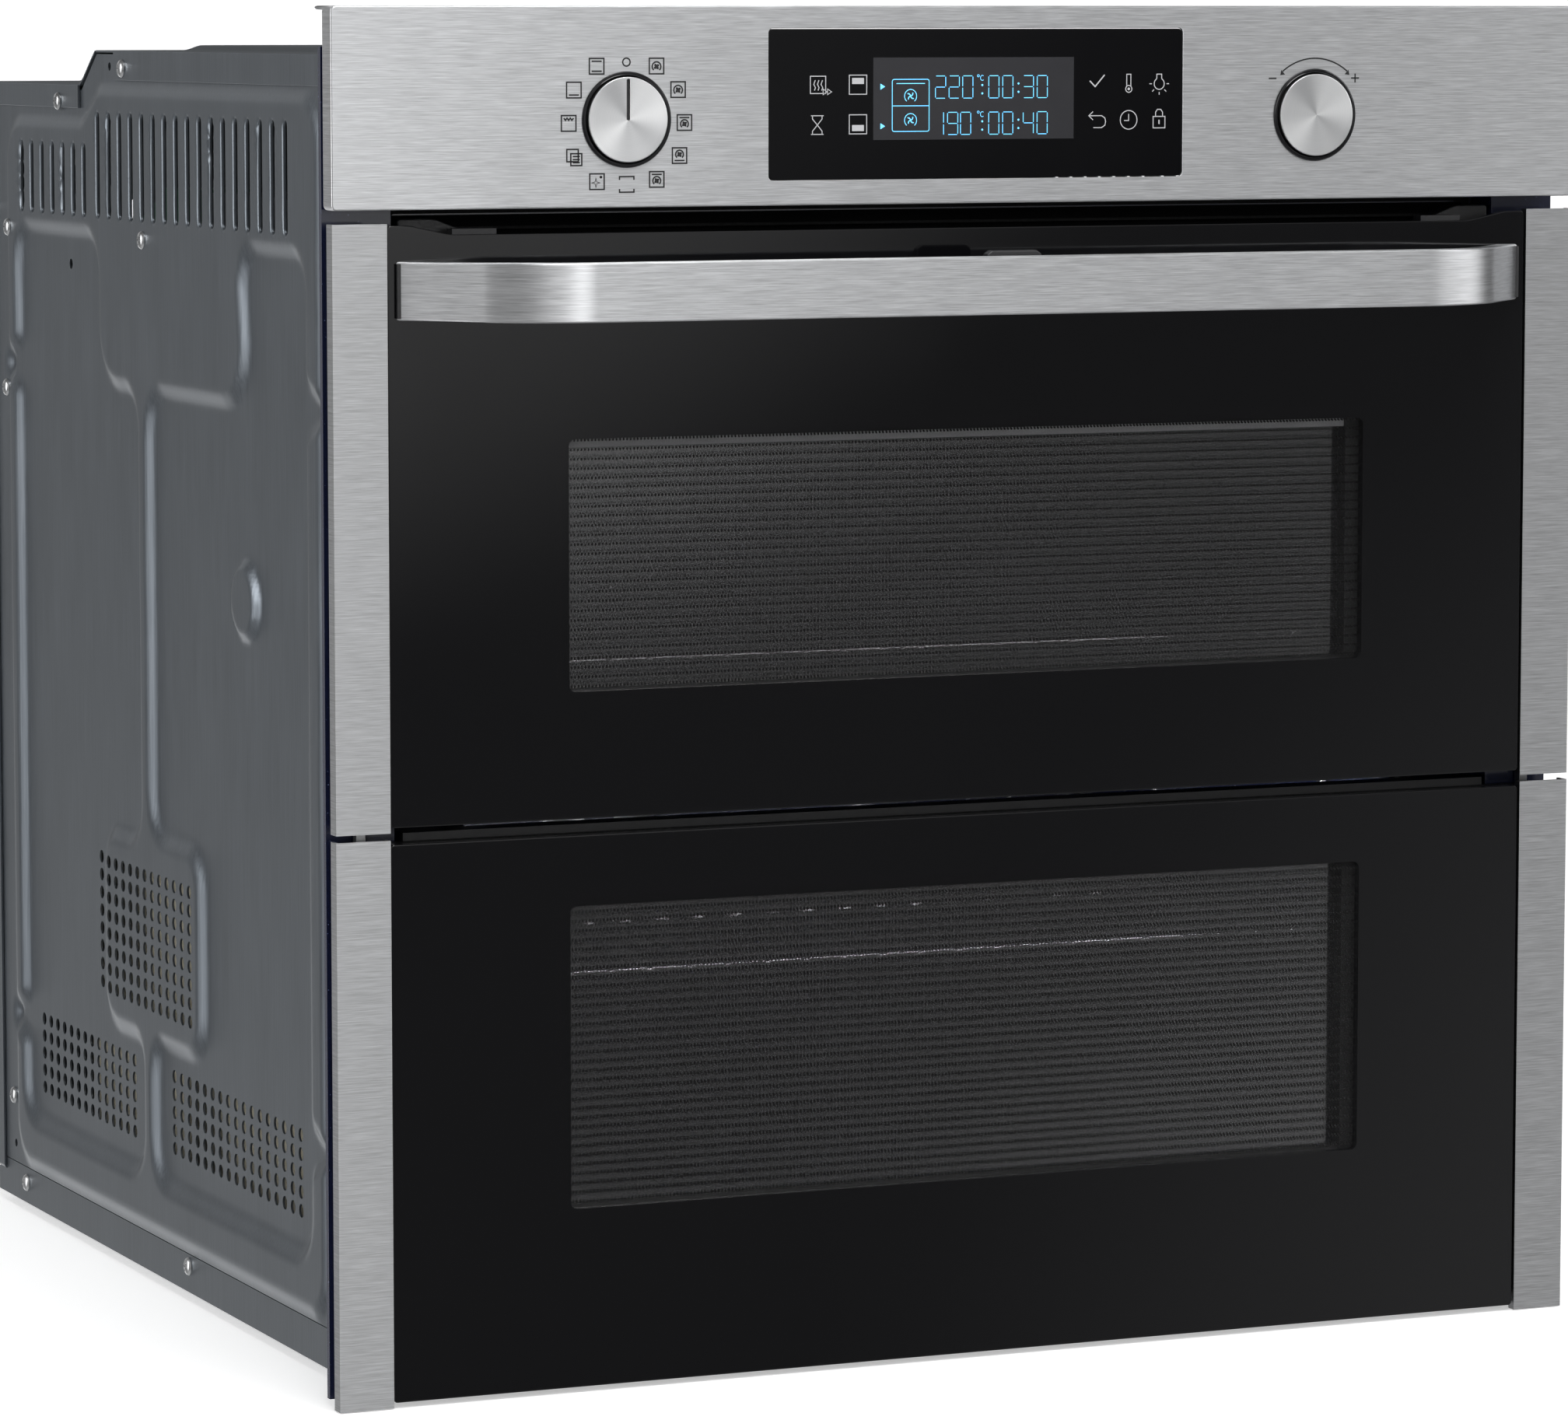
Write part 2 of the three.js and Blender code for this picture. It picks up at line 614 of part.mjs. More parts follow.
function lamp() {
  const { x, z, cup, glass, bulb, holder } = LAMP;
  const front = 174;
  const shell = bar('y', x, z, front, BACK_WALL, cup, 20);
  const inside = bar('y', x, z, front + 3.5, CAVITY.back + 5, cup - glass, 16);
  part('lamp_cover', cut(shell, inside), 'clearGlass');
  const bulbRod = bar('y', x, z, 180, 197, bulb, 12);
  part('lamp_holder', join(bulbRod, bar('y', x, z, 196, 226, holder, 16)), 'fibre');
}

// ---------------------------------------------------------------- cooling and electrics
const BLOWER = { y: 104, z: 508, drum: 41, half: 150, skin: 1.5, inlet: 20 };
const DUCT = { half: 234, front: -254.3, rear: 56, bottom: 465, top: 504 };
const ROTOR = { blades: 10, blade: [285, 8, 1.6], reach: 28, pitchAngle: 0.6, disc: 34, shaft: 3 };

function airDuct() {
  const { half, front, rear, bottom, top } = DUCT;
  const tube = block(-half, half, front, rear, bottom, top);
  const air = block(-half + SHEET, half - SHEET, front - 5, rear + 4, bottom + SHEET, top - SHEET);
  part('air_outlet_duct', cut(tube, air), 'zinc');
}

function coolingFan() {
  const { y, z, drum: r, half, skin, inlet } = BLOWER;
  const start = DUCT.rear + 0.4;
  const floor = DUCT.bottom + 2;
  const drum = join(bar('x', y, z, -half, half, r, 24), block(-half, half, start, y, floor, z));
  const air = half - skin;
  const throat = block(-air, air, start - 6, y, floor + skin, DUCT.top - 3);
  const inside = join(bar('x', y, z, -air, air, r - skin, 24), throat);
  const inlets = bar('x', y, z, -half - 10, half + 10, inlet, 16);
  part('cooling_fan_housing', cut(drum, inside, inlets), 'zinc');

  const shaft = bar('x', y, z, -146, 196, ROTOR.shaft, 8);
  const discs = [-143, -1, 141].map((x) => bar('x', y, z, x, x + 2, ROTOR.disc, 14));
  const blades = [];
  for (let i = 0; i < ROTOR.blades; i += 1) {
    const geometry = new THREE.BoxGeometry(...ROTOR.blade);
    geometry.rotateX(ROTOR.pitchAngle);
    geometry.translate(0, ROTOR.reach, 0);
    geometry.rotateX((2 * Math.PI * i) / ROTOR.blades);
    geometry.translate(0, y, z);
    blades.push(solid(geometry));
  }
  part('cooling_fan_rotor', join(shaft, ...discs, ...blades), 'blackPlastic');

  const body = bar('x', y, z, 156, 200, 27, 20);
  const foot = block(158, 163, y - 34, y + 34, z - 34, z + 20);
  part('cooling_fan_motor', cut(join(body, foot), bar('x', y, z, 150, 198, 3.5, 8)), 'motor');
}

function powerBoard() {
  const floor = 468;
  const tray = block(-246, -164, 62, 205, floor - 3.5, floor + 1);
  const transformer = block(-240, -205, 75, 115, floor, 505);
  const relays = [80, 104, 128].map((y) => block(-195, -172, y, y + 16, floor, 484));
  const tall = bar('z', -222, 140, floor, 497, 11, 12);
  const short = bar('z', -222, 168, floor, 490, 8, 12);
  const connector = block(-200, -170, 165, 195, floor, 482);
  part('power_board', join(tray, transformer, ...relays, tall, short, connector), 'board');
}

function terminalBlock() {
  const { left, right, bottom, top } = TERMINAL;
  const box = block(left, right, 236, Y_REAR - 0.5, bottom, top);
  const gland = bar('y', 233, 506, 250, Y_REAR + 5, 8, 12);
  const screws = [192, 204, 216].map((x) => block(x - 4, x + 4, Y_REAR - 10, Y_REAR + 5, 520, 532));
  part('terminal_block', cut(box, gland, ...screws), 'blackPlastic');
}

// ---------------------------------------------------------------- control panel
const PANEL = { wall: 1.2, sideDepth: 10.5, bottomDepth: 10.5, knobHole: 19.9, corner: 2 };

function controlPanel() {
  const half = FRONT_W / 2;
  const { wall, sideDepth, bottomDepth, knobHole, corner } = PANEL;
  const face = block(-half, half, Y_FACE, Y_FACE + wall, Z_PANEL, Z_TOP);
  const top = block(-half, half, Y_FACE, Y_CABINET + 1, Z_TOP - wall, Z_TOP);
  const bottom = block(-half, half, Y_FACE, Y_FACE + bottomDepth, Z_PANEL, Z_PANEL + wall);
  const left = block(-half, -half + wall, Y_FACE, Y_FACE + sideDepth, Z_PANEL, Z_TOP);
  const shell = join(face, top, bottom, left, mirrorX(left));
  const { half: w, bottom: z0, top: z1 } = DISPLAY;
  const glassHole = slabXZ(roundedRect(-w, w, z0, z1, corner), Y_FACE - 5, Y_FACE + 5, 3);
  const knobHoles = [-KNOB_X, KNOB_X].map((x) => bar('y', x, KNOB_Z, Y_FACE - 5, Y_FACE + 5, knobHole, 32));
  part('control_panel', cut(shell, glassHole, ...knobHoles), 'stainless');
}

function display() {
  const { half: w, bottom: z0, top: z1 } = DISPLAY;
  const edge = roundedRect(-w + GAP, w - GAP, z0 + GAP, z1 - GAP, PANEL.corner - 0.2);
  part('display_glass', slabXZ(edge, Y_FACE + 0.1, Y_FACE + 3, 3), 'blackGlass');
  const boardFront = -285;
  const board = block(-94, 94, boardFront, boardFront + 1.6, 520, 578);
  const screen = block(-50, 46, Y_FACE + 3.4, boardFront + 1, 533.4, 568.8);
  const chip = block(-30, 30, boardFront + 1, boardFront + 6, 526, 560);
  part('display_board', join(board, screen, chip), 'board');
}

function knobBezel(name, x) {
  const flange = bar('y', x, KNOB_Z, Y_FACE - 0.9, Y_FACE - GAP, BEZEL_R, 30);
  const barrel = bar('y', x, KNOB_Z, Y_FACE - 0.5, Y_FACE + 14, PANEL.knobHole - 0.4, 30);
  const hole = bar('y', x, KNOB_Z, Y_FACE - 5, Y_FACE + 20, KNOB_R + 0.45, 30);
  part(name, cut(join(flange, barrel), hole), 'blackPlastic');
}

const SPINDLE_R = 3;
const SLEEVE_R = 6;

function encoder(name, x) {
  const body = block(x - 15, x + 15, -274, -254, KNOB_Z - 15, KNOB_Z + 15);
  const plate = block(x - 22, x + 22, -276, -274, KNOB_Z - 22, KNOB_Z + 22);
  const bore = bar('y', x, KNOB_Z, -290, -240, SLEEVE_R + 0.4, 16);
  part(name, cut(join(body, plate), bore), 'blackPlastic');
}

// The sleeve slides out of the panel when the knob is pushed to release it; the knob turns in it.
function knobSleeve(name, x) {
  const tube = bar('y', x, KNOB_Z, -282.6, -258, SLEEVE_R, 16);
  const bore = bar('y', x, KNOB_Z, -290, -250, SPINDLE_R + 0.3, 12);
  part(name, cut(tube, bore), 'blackPlastic');
}

function knob(name, x, pointer) {
  const front = Y_FACE - 2.2;
  const cap = bar('y', x, KNOB_Z, front, -283, KNOB_R, 30);
  let body = join(cap, bar('y', x, KNOB_Z, -284, -256, SPINDLE_R, 12));
  if (pointer) {
    const groove = { half: 0.6, depth: 0.8, end: KNOB_R - 0.9 };
    const { half, depth, end } = groove;
    body = cut(body, block(x - half, x + half, front - 1, front + depth, KNOB_Z, KNOB_Z + end));
  }
  part(name, body, 'knob');
}

// ---------------------------------------------------------------- doors
const FRAME_OUTER = { half: 292, front: Y_GLASS + GLASS_T + 0.4, back: -277 };
const FRAME_INNER = { half: 262, back: -264.8 };
const ARM = { near: 280, far: 284 }; // hinge arms stand between these in |x|
const PIN = { r: 2.5, end: 291.5 };
const KNUCKLE = { near: 285, far: 292, r: 4.8, bore: 2.85 };
const ARM_ROOM = { front: 6, below: 8, above: 4.6, reach: -270 }; // what the arm sweeps
const FRAME_ROOM = { margin: 4, side: 4.8, pocketNear: 202, pocketFar: 256, web: 7 };

function doorStrips(leftName, rightName, z0, z1) {
  const outer = -FRONT_W / 2;
  const inner = outer + STRIP_W;
  const back = Y_FACE + STRIP_WRAP;
  const returnBack = Y_GLASS + GLASS_T - 0.2;
  const profile = outline([
    [outer, Y_FACE],
    [inner, Y_FACE],
    [inner, returnBack],
    [inner - STRIP_T, returnBack],
    [inner - STRIP_T, Y_FACE + STRIP_T],
    [outer + STRIP_T, Y_FACE + STRIP_T],
    [outer + STRIP_T, back],
    [outer, back],
  ]);
  pair(leftName, rightName, slabXY(profile, z0, z1), 'stainless');
}

const GLASS_HALF = FRONT_W / 2 - STRIP_W - 0.5;

function lowerOuterGlass() {
  const z0 = -FRONT_DROP + GLASS_END;
  const pane = block(-GLASS_HALF, GLASS_HALF, Y_GLASS, Y_GLASS + GLASS_T, z0, SPLIT_Z - GLASS_END);
  part('lower_outer_glass', pane, 'blackGlass');
}

const DIP = { start: 244, end: 263, depth: 4 };

// The upper glass dips in its middle stretch to let the cooling air out.
function upperOuterGlass() {
  const top = Z_DOOR_TOP - 0.8;
  const dip = top - DIP.depth;
  const bottom = Z_UPPER + GLASS_END;
  const edge = outline([
    [-GLASS_HALF, bottom],
    [GLASS_HALF, bottom],
    [GLASS_HALF, top],
    [DIP.end, top],
    [DIP.start, dip],
    [-DIP.start, dip],
    [-DIP.end, top],
    [-GLASS_HALF, top],
  ]);
  part('upper_outer_glass', slabXZ(edge, Y_GLASS, Y_GLASS + GLASS_T), 'blackGlass');
}

const INNER_PANE = { half: 258, radius: 6, back: -260.5 };

function innerGlass(name, z0, z1) {
  const { half, radius, back } = INNER_PANE;
  const pane = slabXZ(roundedRect(-half, half, z0, z1, radius), FRAME_INNER.back + GAP, back, 2);
  part(name, pane, 'clearGlass');
}

// A pair of knuckles that turn on hinge pins, with room for the arms that carry the pins.
function withKnuckles(frame, zHinge) {
  let body = frame;
  for (const side of [-1, 1]) {
    const [near, far] = side < 0 ? [-KNUCKLE.far, -KNUCKLE.near] : [KNUCKLE.near, KNUCKLE.far];
    const [armNear, armFar] = side < 0 ? [-ARM.far - 1, -ARM.near + 1] : [ARM.near - 1, ARM.far + 1];
    const knuckle = bar('x', Y_HINGE, zHinge, near, far, KNUCKLE.r, 16);
    const bore = bar('x', Y_HINGE, zHinge, near - 1, far + 1, KNUCKLE.bore, 16);
    const { front, below, above, reach } = ARM_ROOM;
    const pocket = block(armNear, armFar, Y_HINGE - front, reach, zHinge - below, zHinge + above);
    body = cut(join(body, knuckle), bore, pocket);
  }
  return body;
}

function doorFrame(z0, z1, deep0, deep1, [w0, w1]) {
  const outerHalf = FRAME_OUTER.half;
  const outer = block(-outerHalf, outerHalf, FRAME_OUTER.front, FRAME_OUTER.back, z0, z1);
  const half = FRAME_INNER.half;
  const inner = block(-half, half, FRAME_OUTER.back - 1, FRAME_INNER.back, deep0, deep1);
  const { margin, side, pocketNear, pocketFar, web } = FRAME_ROOM;
  const open = WINDOW_HALF + side;
  const [low, high] = [w0 - margin, w1 + margin];
  const window = block(-open, open, FRAME_OUTER.front - 10, FRAME_INNER.back + 10, low, high);
  const pocket = block(pocketNear, pocketFar, FRAME_OUTER.back - web, FRAME_INNER.back + 10, low, high);
  return cut(join(outer, inner), window, pocket, mirrorX(pocket));
}

function lowerDoor() {
  doorStrips('lower_left_strip', 'lower_right_strip', -FRONT_DROP, SPLIT_Z);
  lowerOuterGlass();
  innerGlass('lower_inner_glass', 12, 236);
  const frame = doorFrame(Z_LOWER_HINGE, 237.5, 8, 241, LOWER_WINDOW);
  part('lower_door_frame', withKnuckles(frame, Z_LOWER_HINGE), 'blackPlastic');
}

const TAB = { near: 222, far: 242, bottom: 490, top: 497.5 }; // buffers over the door's top edge

function upperDoor() {
  doorStrips('upper_left_strip', 'upper_right_strip', Z_UPPER, Z_DOOR_TOP);
  upperOuterGlass();
  innerGlass('upper_inner_glass', 251, 490);
  const frame = doorFrame(Z_UPPER_HINGE, 493, 246, 494, UPPER_WINDOW);
  const tab = block(TAB.near, TAB.far, FRAME_OUTER.front, FRAME_OUTER.back - 4, TAB.bottom, TAB.top);
  part('upper_door_frame', withKnuckles(join(frame, tab, mirrorX(tab)), Z_UPPER_HINGE), 'blackPlastic');
}

// Brackets of the whole door: an arm out of the front frame with a pin at its end.
function doorHinges() {
  const z = Z_LOWER_HINGE;
  const front = Y_CABINET - 3.5;
  const arm = block(-ARM.far, -ARM.near, Y_HINGE - 3, front, z - 3, z + 3);
  const pin = bar('x', Y_HINGE, z, -PIN.end, -ARM.far + 1, PIN.r, 16);
  pair('left_door_hinge', 'right_door_hinge', join(arm, pin), 'motor');
}

// Brackets of the upper door: goosenecks that stand on the lower door and leave the upper
// door's bottom edge free to swing round.
function splitHinges() {
  const z = Z_UPPER_HINGE;
  const root = 237.5 + GAP;
  const neckFront = Y_HINGE + 6.5;
  const neckBack = Y_HINGE + 11;
  const neck = block(-ARM.far, -ARM.near, neckFront, neckBack, root, z + 3);
  const arm = block(-ARM.far, -ARM.near, Y_HINGE - 3, neckBack, z - 2.5, z + 3);
  const pin = bar('x', Y_HINGE, z, -PIN.end, -ARM.far + 1, PIN.r, 16);
  pair('left_split_hinge', 'right_split_hinge', join(neck, arm, pin), 'motor');
}

// ---------------------------------------------------------------- handle
const HANDLE = { reach: 48, height: 25, middle: 471.8, end: 268.8, strap: 8, bend: 60, slope: 0.82 };

// Plan outline of the strap: straight legs at `slope` radians, round bends, and a straight grip.
function strapOutline() {
  const { reach, end, strap, bend, slope } = HANDLE;
  const foot = Y_GLASS - GAP;
  const face = Y_FACE - reach;
  const tangent = bend * Math.tan(slope / 2);
  const cornerX = end - (foot - face) / Math.tan(slope);
  const bendX = cornerX - tangent;
  const bendY = face + bend;
  const footIn = end - strap / Math.sin(slope);
  const shape = new THREE.Shape();
  shape.moveTo(end, foot);
  shape.lineTo(footIn, foot);
  shape.absarc(bendX, bendY, bend - strap, slope - Math.PI / 2, -Math.PI / 2, true);
  shape.absarc(-bendX, bendY, bend - strap, -Math.PI / 2, -Math.PI / 2 - slope, true);
  shape.lineTo(-footIn, foot);
  shape.lineTo(-end, foot);
  shape.absarc(-bendX, bendY, bend, -Math.PI / 2 - slope, -Math.PI / 2, false);
  shape.absarc(bendX, bendY, bend, -Math.PI / 2, slope - Math.PI / 2, false);
  return shape;
}

const LEVER = { half: 13, front: -330.7, back: -325.8, bottom: 480.2, top: 488.9 };
const HOUSING = { half: 22, front: -334, back: -322.5, bottom: 462.5, top: 481.5 }; // round the lever

function handle() {
  const { middle, height } = HANDLE;
  const strap = slabXY(strapOutline(), middle - height / 2, middle + height / 2, 6);
  const h = HOUSING;
  const housing = block(-h.half, h.half, h.front, h.back, h.bottom, h.top);
  const { half, front, back, bottom, top } = LEVER;
  const pocket = block(-half - 0.5, half + 0.5, front - 0.4, back + 0.4, bottom - 5.2, top + 10);
  part('handle', cut(join(strap, housing), pocket), 'stainless');
}

function releaseLever() {
  const { half, front, back, bottom, top } = LEVER;
  const key = slabXZ(roundedRect(-half, half, bottom - 2, top, 1.5), front, back, 2);
  part('release_lever', key, 'blackPlastic');
}

// ---------------------------------------------------------------- assembly
basePlate();
sidePanels();
topCovers();
backCover();
frontFrame();
cavityLiner();
insulation();
gasket();
shelfSupports();
wireRack('upper_wire_rack', UPPER_RACK_RAIL);
wireRack('lower_wire_rack', LOWER_RACK_RAIL);
dividerPlate();
grillElement();
bottomElement();
ringElement('upper_ring_element', FAN_Z.upper);
ringElement('lower_ring_element', FAN_Z.lower);
fanBaffle();
convectionFan('upper_fan', FAN_Z.upper);
convectionFan('lower_fan', FAN_Z.lower);
convectionMotor('upper_fan_motor', FAN_Z.upper);
convectionMotor('lower_fan_motor', FAN_Z.lower);
lamp();
airDuct();
coolingFan();
powerBoard();
terminalBlock();
controlPanel();
display();
for (const [name, x, pointer] of [['mode', -KNOB_X, true], ['value', KNOB_X, false]]) {
  knobBezel(`${name}_knob_bezel`, x);
  encoder(`${name}_encoder`, x);
  knobSleeve(`${name}_knob_sleeve`, x);
  knob(`${name}_knob`, x, pointer);
}
doorHinges();
lowerDoor();
splitHinges();
upperDoor();
handle();
releaseLever();

export default oven;
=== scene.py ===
import json
import math

import bmesh
import bpy
import numpy as np
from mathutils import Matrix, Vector
from mathutils.geometry import delaunay_2d_cdt, tessellate_polygon

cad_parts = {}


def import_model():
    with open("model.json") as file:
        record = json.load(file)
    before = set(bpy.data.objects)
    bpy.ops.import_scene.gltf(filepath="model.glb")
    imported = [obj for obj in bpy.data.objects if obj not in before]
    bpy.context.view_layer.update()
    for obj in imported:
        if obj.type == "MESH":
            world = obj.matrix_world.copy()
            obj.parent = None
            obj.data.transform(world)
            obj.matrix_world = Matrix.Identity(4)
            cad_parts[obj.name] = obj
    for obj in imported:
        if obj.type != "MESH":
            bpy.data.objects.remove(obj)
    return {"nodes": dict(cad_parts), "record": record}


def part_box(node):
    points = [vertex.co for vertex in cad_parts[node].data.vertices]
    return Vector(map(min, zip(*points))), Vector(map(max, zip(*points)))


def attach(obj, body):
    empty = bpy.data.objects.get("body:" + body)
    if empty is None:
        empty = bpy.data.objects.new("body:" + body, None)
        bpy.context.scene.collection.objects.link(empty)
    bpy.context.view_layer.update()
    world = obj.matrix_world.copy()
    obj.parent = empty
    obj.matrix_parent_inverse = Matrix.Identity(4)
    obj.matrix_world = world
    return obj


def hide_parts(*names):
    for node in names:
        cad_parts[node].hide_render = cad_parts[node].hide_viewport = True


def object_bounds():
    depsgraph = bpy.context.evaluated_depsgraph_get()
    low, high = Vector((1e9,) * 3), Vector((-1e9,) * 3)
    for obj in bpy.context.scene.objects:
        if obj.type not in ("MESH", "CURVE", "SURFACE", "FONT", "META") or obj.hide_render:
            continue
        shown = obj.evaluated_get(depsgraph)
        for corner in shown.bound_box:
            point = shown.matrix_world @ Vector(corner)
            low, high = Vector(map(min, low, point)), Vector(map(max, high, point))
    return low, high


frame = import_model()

CAD_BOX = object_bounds()
MM = 0.001

# ---------------------------------------------------------------- places taken from the frame


def box_mm(node):
    low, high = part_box(node)
    return np.array(low) / MM, np.array(high) / MM


PANEL_LOW, PANEL_HIGH = box_mm("control_panel")
Y_FACE = PANEL_LOW[1]
HALF_W = PANEL_HIGH[0]
UPPER_GLASS = box_mm("upper_outer_glass")
LOWER_GLASS = box_mm("lower_outer_glass")
SIDE_LOW, SIDE_HIGH = box_mm("left_side_panel")
DISPLAY_LOW, DISPLAY_HIGH = box_mm("display_glass")
KNOB_LOW, KNOB_HIGH = box_mm("value_knob")
KNOB_X = (KNOB_LOW[0] + KNOB_HIGH[0]) / 2
KNOB_Z = (KNOB_LOW[2] + KNOB_HIGH[2]) / 2
KNOB_R = (KNOB_HIGH[0] - KNOB_LOW[0]) / 2
KNOBS = {"mode": -KNOB_X, "value": KNOB_X}
HANDLE_LOW, HANDLE_HIGH = box_mm("handle")
LEVER_LOW, LEVER_HIGH = box_mm("release_lever")

# ---------------------------------------------------------------- materials


class Look:
    """A Principled material, with short calls that add and link its nodes."""

    def __init__(self, name, **sockets):
        self.material = bpy.data.materials.new(name)
        self.material.use_nodes = True
        self.nodes = self.material.node_tree.nodes
        self.links = self.material.node_tree.links
        self.shader = self.nodes["Principled BSDF"]
        for socket, value in sockets.items():
            self.shader.inputs[socket.replace("_", " ")].default_value = value

    def add(self, kind, inputs=(), **settings):
        node = self.nodes.new(kind)
        for key, value in settings.items():
            setattr(node, key, value)
        for socket, value in dict(inputs).items():
            if isinstance(value, bpy.types.NodeSocket):
                self.links.new(value, node.inputs[socket])
            else:
                node.inputs[socket].default_value = value
        return node

    def places(self, scale=(1, 1, 1)):
        """Coordinates in metres on the object, scaled."""
        source = self.add("ShaderNodeTexCoord").outputs["Object"]
        mapping = self.add("ShaderNodeMapping", {"Vector": source, "Scale": scale})
        return mapping.outputs["Vector"]

    def noise(self, scale, detail=2.0, rough=0.5):
        inputs = {"Vector": self.places(scale), "Scale": 1.0, "Detail": detail, "Roughness": rough}
        return self.add("ShaderNodeTexNoise", inputs).outputs["Fac"]

    def spread(self, value, low, high, start=0.0, end=1.0):
        """Maps start..end to low..high."""
        inputs = {"Value": value, "From Min": start, "From Max": end, "To Min": low, "To Max": high}
        return self.add("ShaderNodeMapRange", inputs).outputs["Result"]

    def math(self, operation, first, second=0.0):
        return self.add("ShaderNodeMath", {0: first, 1: second}, operation=operation).outputs[0]

    def colours(self, factor, dark, light):
        node = self.add("ShaderNodeMix", {"Factor": factor}, data_type="RGBA")
        node.inputs[6].default_value = (*dark, 1)
        node.inputs[7].default_value = (*light, 1)
        return node.outputs[2]

    def bump(self, height, strength, depth):
        inputs = {"Height": height, "Strength": strength, "Distance": depth}
        normal = self.add("ShaderNodeBump", inputs).outputs["Normal"]
        self.links.new(normal, self.shader.inputs["Normal"])

    def drive(self, socket, value):
        self.links.new(value, self.shader.inputs[socket])


def brushed_steel(name, tone):
    """Stainless steel with fine level scratches."""
    look = Look(name, Metallic=1.0, Anisotropic=0.8, Anisotropic_Rotation=0.25)
    fine, coarse = (95, 95, 3200), (44, 44, 1650)
    scratches = look.noise(fine, detail=2.0, rough=0.6)
    streaks = look.noise(coarse, detail=2.0)
    grain = look.math("ADD", look.math("MULTIPLY", scratches, 0.5), look.math("MULTIPLY", streaks, 0.5))
    low = [tone * 0.72 * tint for tint in (0.985, 0.995, 1.015)]
    high = [tone * 1.16 * tint for tint in (0.985, 0.995, 1.015)]
    look.drive("Base Color", look.colours(look.spread(grain, 0, 1, 0.32, 0.68), low, high))
    look.drive("Roughness", look.spread(grain, 0.4, 0.5, 0.3, 0.7))
    look.bump(grain, 0.15, 0.00002)
    return look.material


def turned_steel(name, x, z):
    """The turned face of a knob, its scratches running round the axis at (x, z), with painted highlights:
    lighter sectors round the axis.
    """
    look = Look(name, Metallic=1.0)
    centred = look.add("ShaderNodeSeparateXYZ", {0: look.places()}).outputs
    dx = look.math("SUBTRACT", centred["X"], x * MM)
    dz = look.math("SUBTRACT", centred["Z"], z * MM)
    angle = look.math("ARCTAN2", dz, dx)
    radius = look.math("SQRT", look.math("ADD", look.math("MULTIPLY", dx, dx), look.math("MULTIPLY", dz, dz)))
    ring = look.add("ShaderNodeCombineXYZ", {"X": look.math("MULTIPLY", radius, 3500.0)}).outputs[0]
    scratches = look.add("ShaderNodeTexNoise", {"Vector": ring, "Scale": 1.0, "Detail": 2.0}).outputs["Fac"]
    # painted highlights: the colour is made lighter and darker in fan-shaped sectors round the axis, standing
    # in for the reflections on turned metal
    broad_painted_highlights = look.math("SINE", look.math("ADD", look.math("MULTIPLY", angle, 2.0), 0.4))
    fine_painted_highlights = look.math("SINE", look.math("ADD", look.math("MULTIPLY", angle, 5.0), 1.0))
    fan = look.math("ADD", look.spread(broad_painted_highlights, 0.1, 0.75, -1, 1), look.spread(fine_painted_highlights, -0.12, 0.12, -1, 1))
    tone = look.math("ADD", fan, look.spread(scratches, -0.08, 0.08, 0.3, 0.7))
    look.drive("Base Color", look.colours(tone, (0.50, 0.505, 0.515), (0.97, 0.975, 0.98)))
    look.drive("Roughness", look.spread(scratches, 0.3, 0.42, 0.3, 0.7))
    look.bump(scratches, 0.12, 0.00001)
    return look.material


def zinc_sheet():
    """Zinc-coated sheet: fine upright rolling grain and a faint mottle."""
    look = Look("zinc_sheet", Metallic=0.85)
    grain = look.noise((1100, 1100, 22), detail=3.0, rough=0.65)
    mottle = look.noise((40, 40, 14), detail=3.0)
    tone = look.math("ADD", look.math("MULTIPLY", grain, 0.75), look.math("MULTIPLY", mottle, 0.25))
    shade = look.colours(look.spread(tone, 0, 1, 0.3, 0.7), (0.115, 0.130, 0.147), (0.185, 0.205, 0.228))
    look.drive("Base Color", shade)
    look.drive("Roughness", look.spread(tone, 0.31, 0.4, 0.3, 0.7))
    look.bump(look.noise((1500, 1500, 700), detail=2.0), 0.2, 0.00002)
    return look.material


def black_glass():
    look = Look("black_glass", Base_Color=(0.0025, 0.0025, 0.003, 1), IOR=1.5)
    look.drive("Roughness", look.spread(look.noise((14, 14, 14), detail=3.0), 0.03, 0.07, 0.3, 0.7))
    return look.material


def insert_glass():
    look = Look("display_glass", Base_Color=(0.002, 0.002, 0.0025, 1), Specular_IOR_Level=0.15)
    look.drive("Roughness", look.spread(look.noise((14, 14, 14), detail=3.0), 0.1, 0.16, 0.3, 0.7))
    return look.material


def dotted(look, pitch_x, pitch_z, radius, shift=0.0):
    """1 inside round dots in rows along X."""
    place = look.add("ShaderNodeSeparateXYZ", {0: look.places()}).outputs
    u = look.math("FRACT", look.math("MULTIPLY", place["X"], 1 / (pitch_x * MM)))
    v = look.math("FRACT", look.math("ADD", look.math("MULTIPLY", place["Z"], 1 / (pitch_z * MM)), shift))
    du = look.math("MULTIPLY", look.math("SUBTRACT", u, 0.5), pitch_x)
    dv = look.math("MULTIPLY", look.math("SUBTRACT", v, 0.5), pitch_z)
    away = look.math("SQRT", look.math("ADD", look.math("MULTIPLY", du, du), look.math("MULTIPLY", dv, dv)))
    return look.math("LESS_THAN", away, radius)


DOT_PITCH = (1.62, 4.05)
DOT_R = 0.43
MESH_PITCH = 0.55


def window_glass(name, see_through, shift, tint):
    """Tinted pane with rows of black dots: printed on the outer pane, painted shadow and reflection of those
    dots on the inner one.
    """
    look = Look(name, Roughness=0.03, IOR=1.5)
    dots = dotted(look, *DOT_PITCH, DOT_R, shift)
    look.drive("Base Color", look.colours(dots, tint, (0.003, 0.003, 0.003)))
    look.drive("Alpha", look.spread(dots, 1 - see_through, 1.0))
    look.material.surface_render_method = "BLENDED"
    return look.material


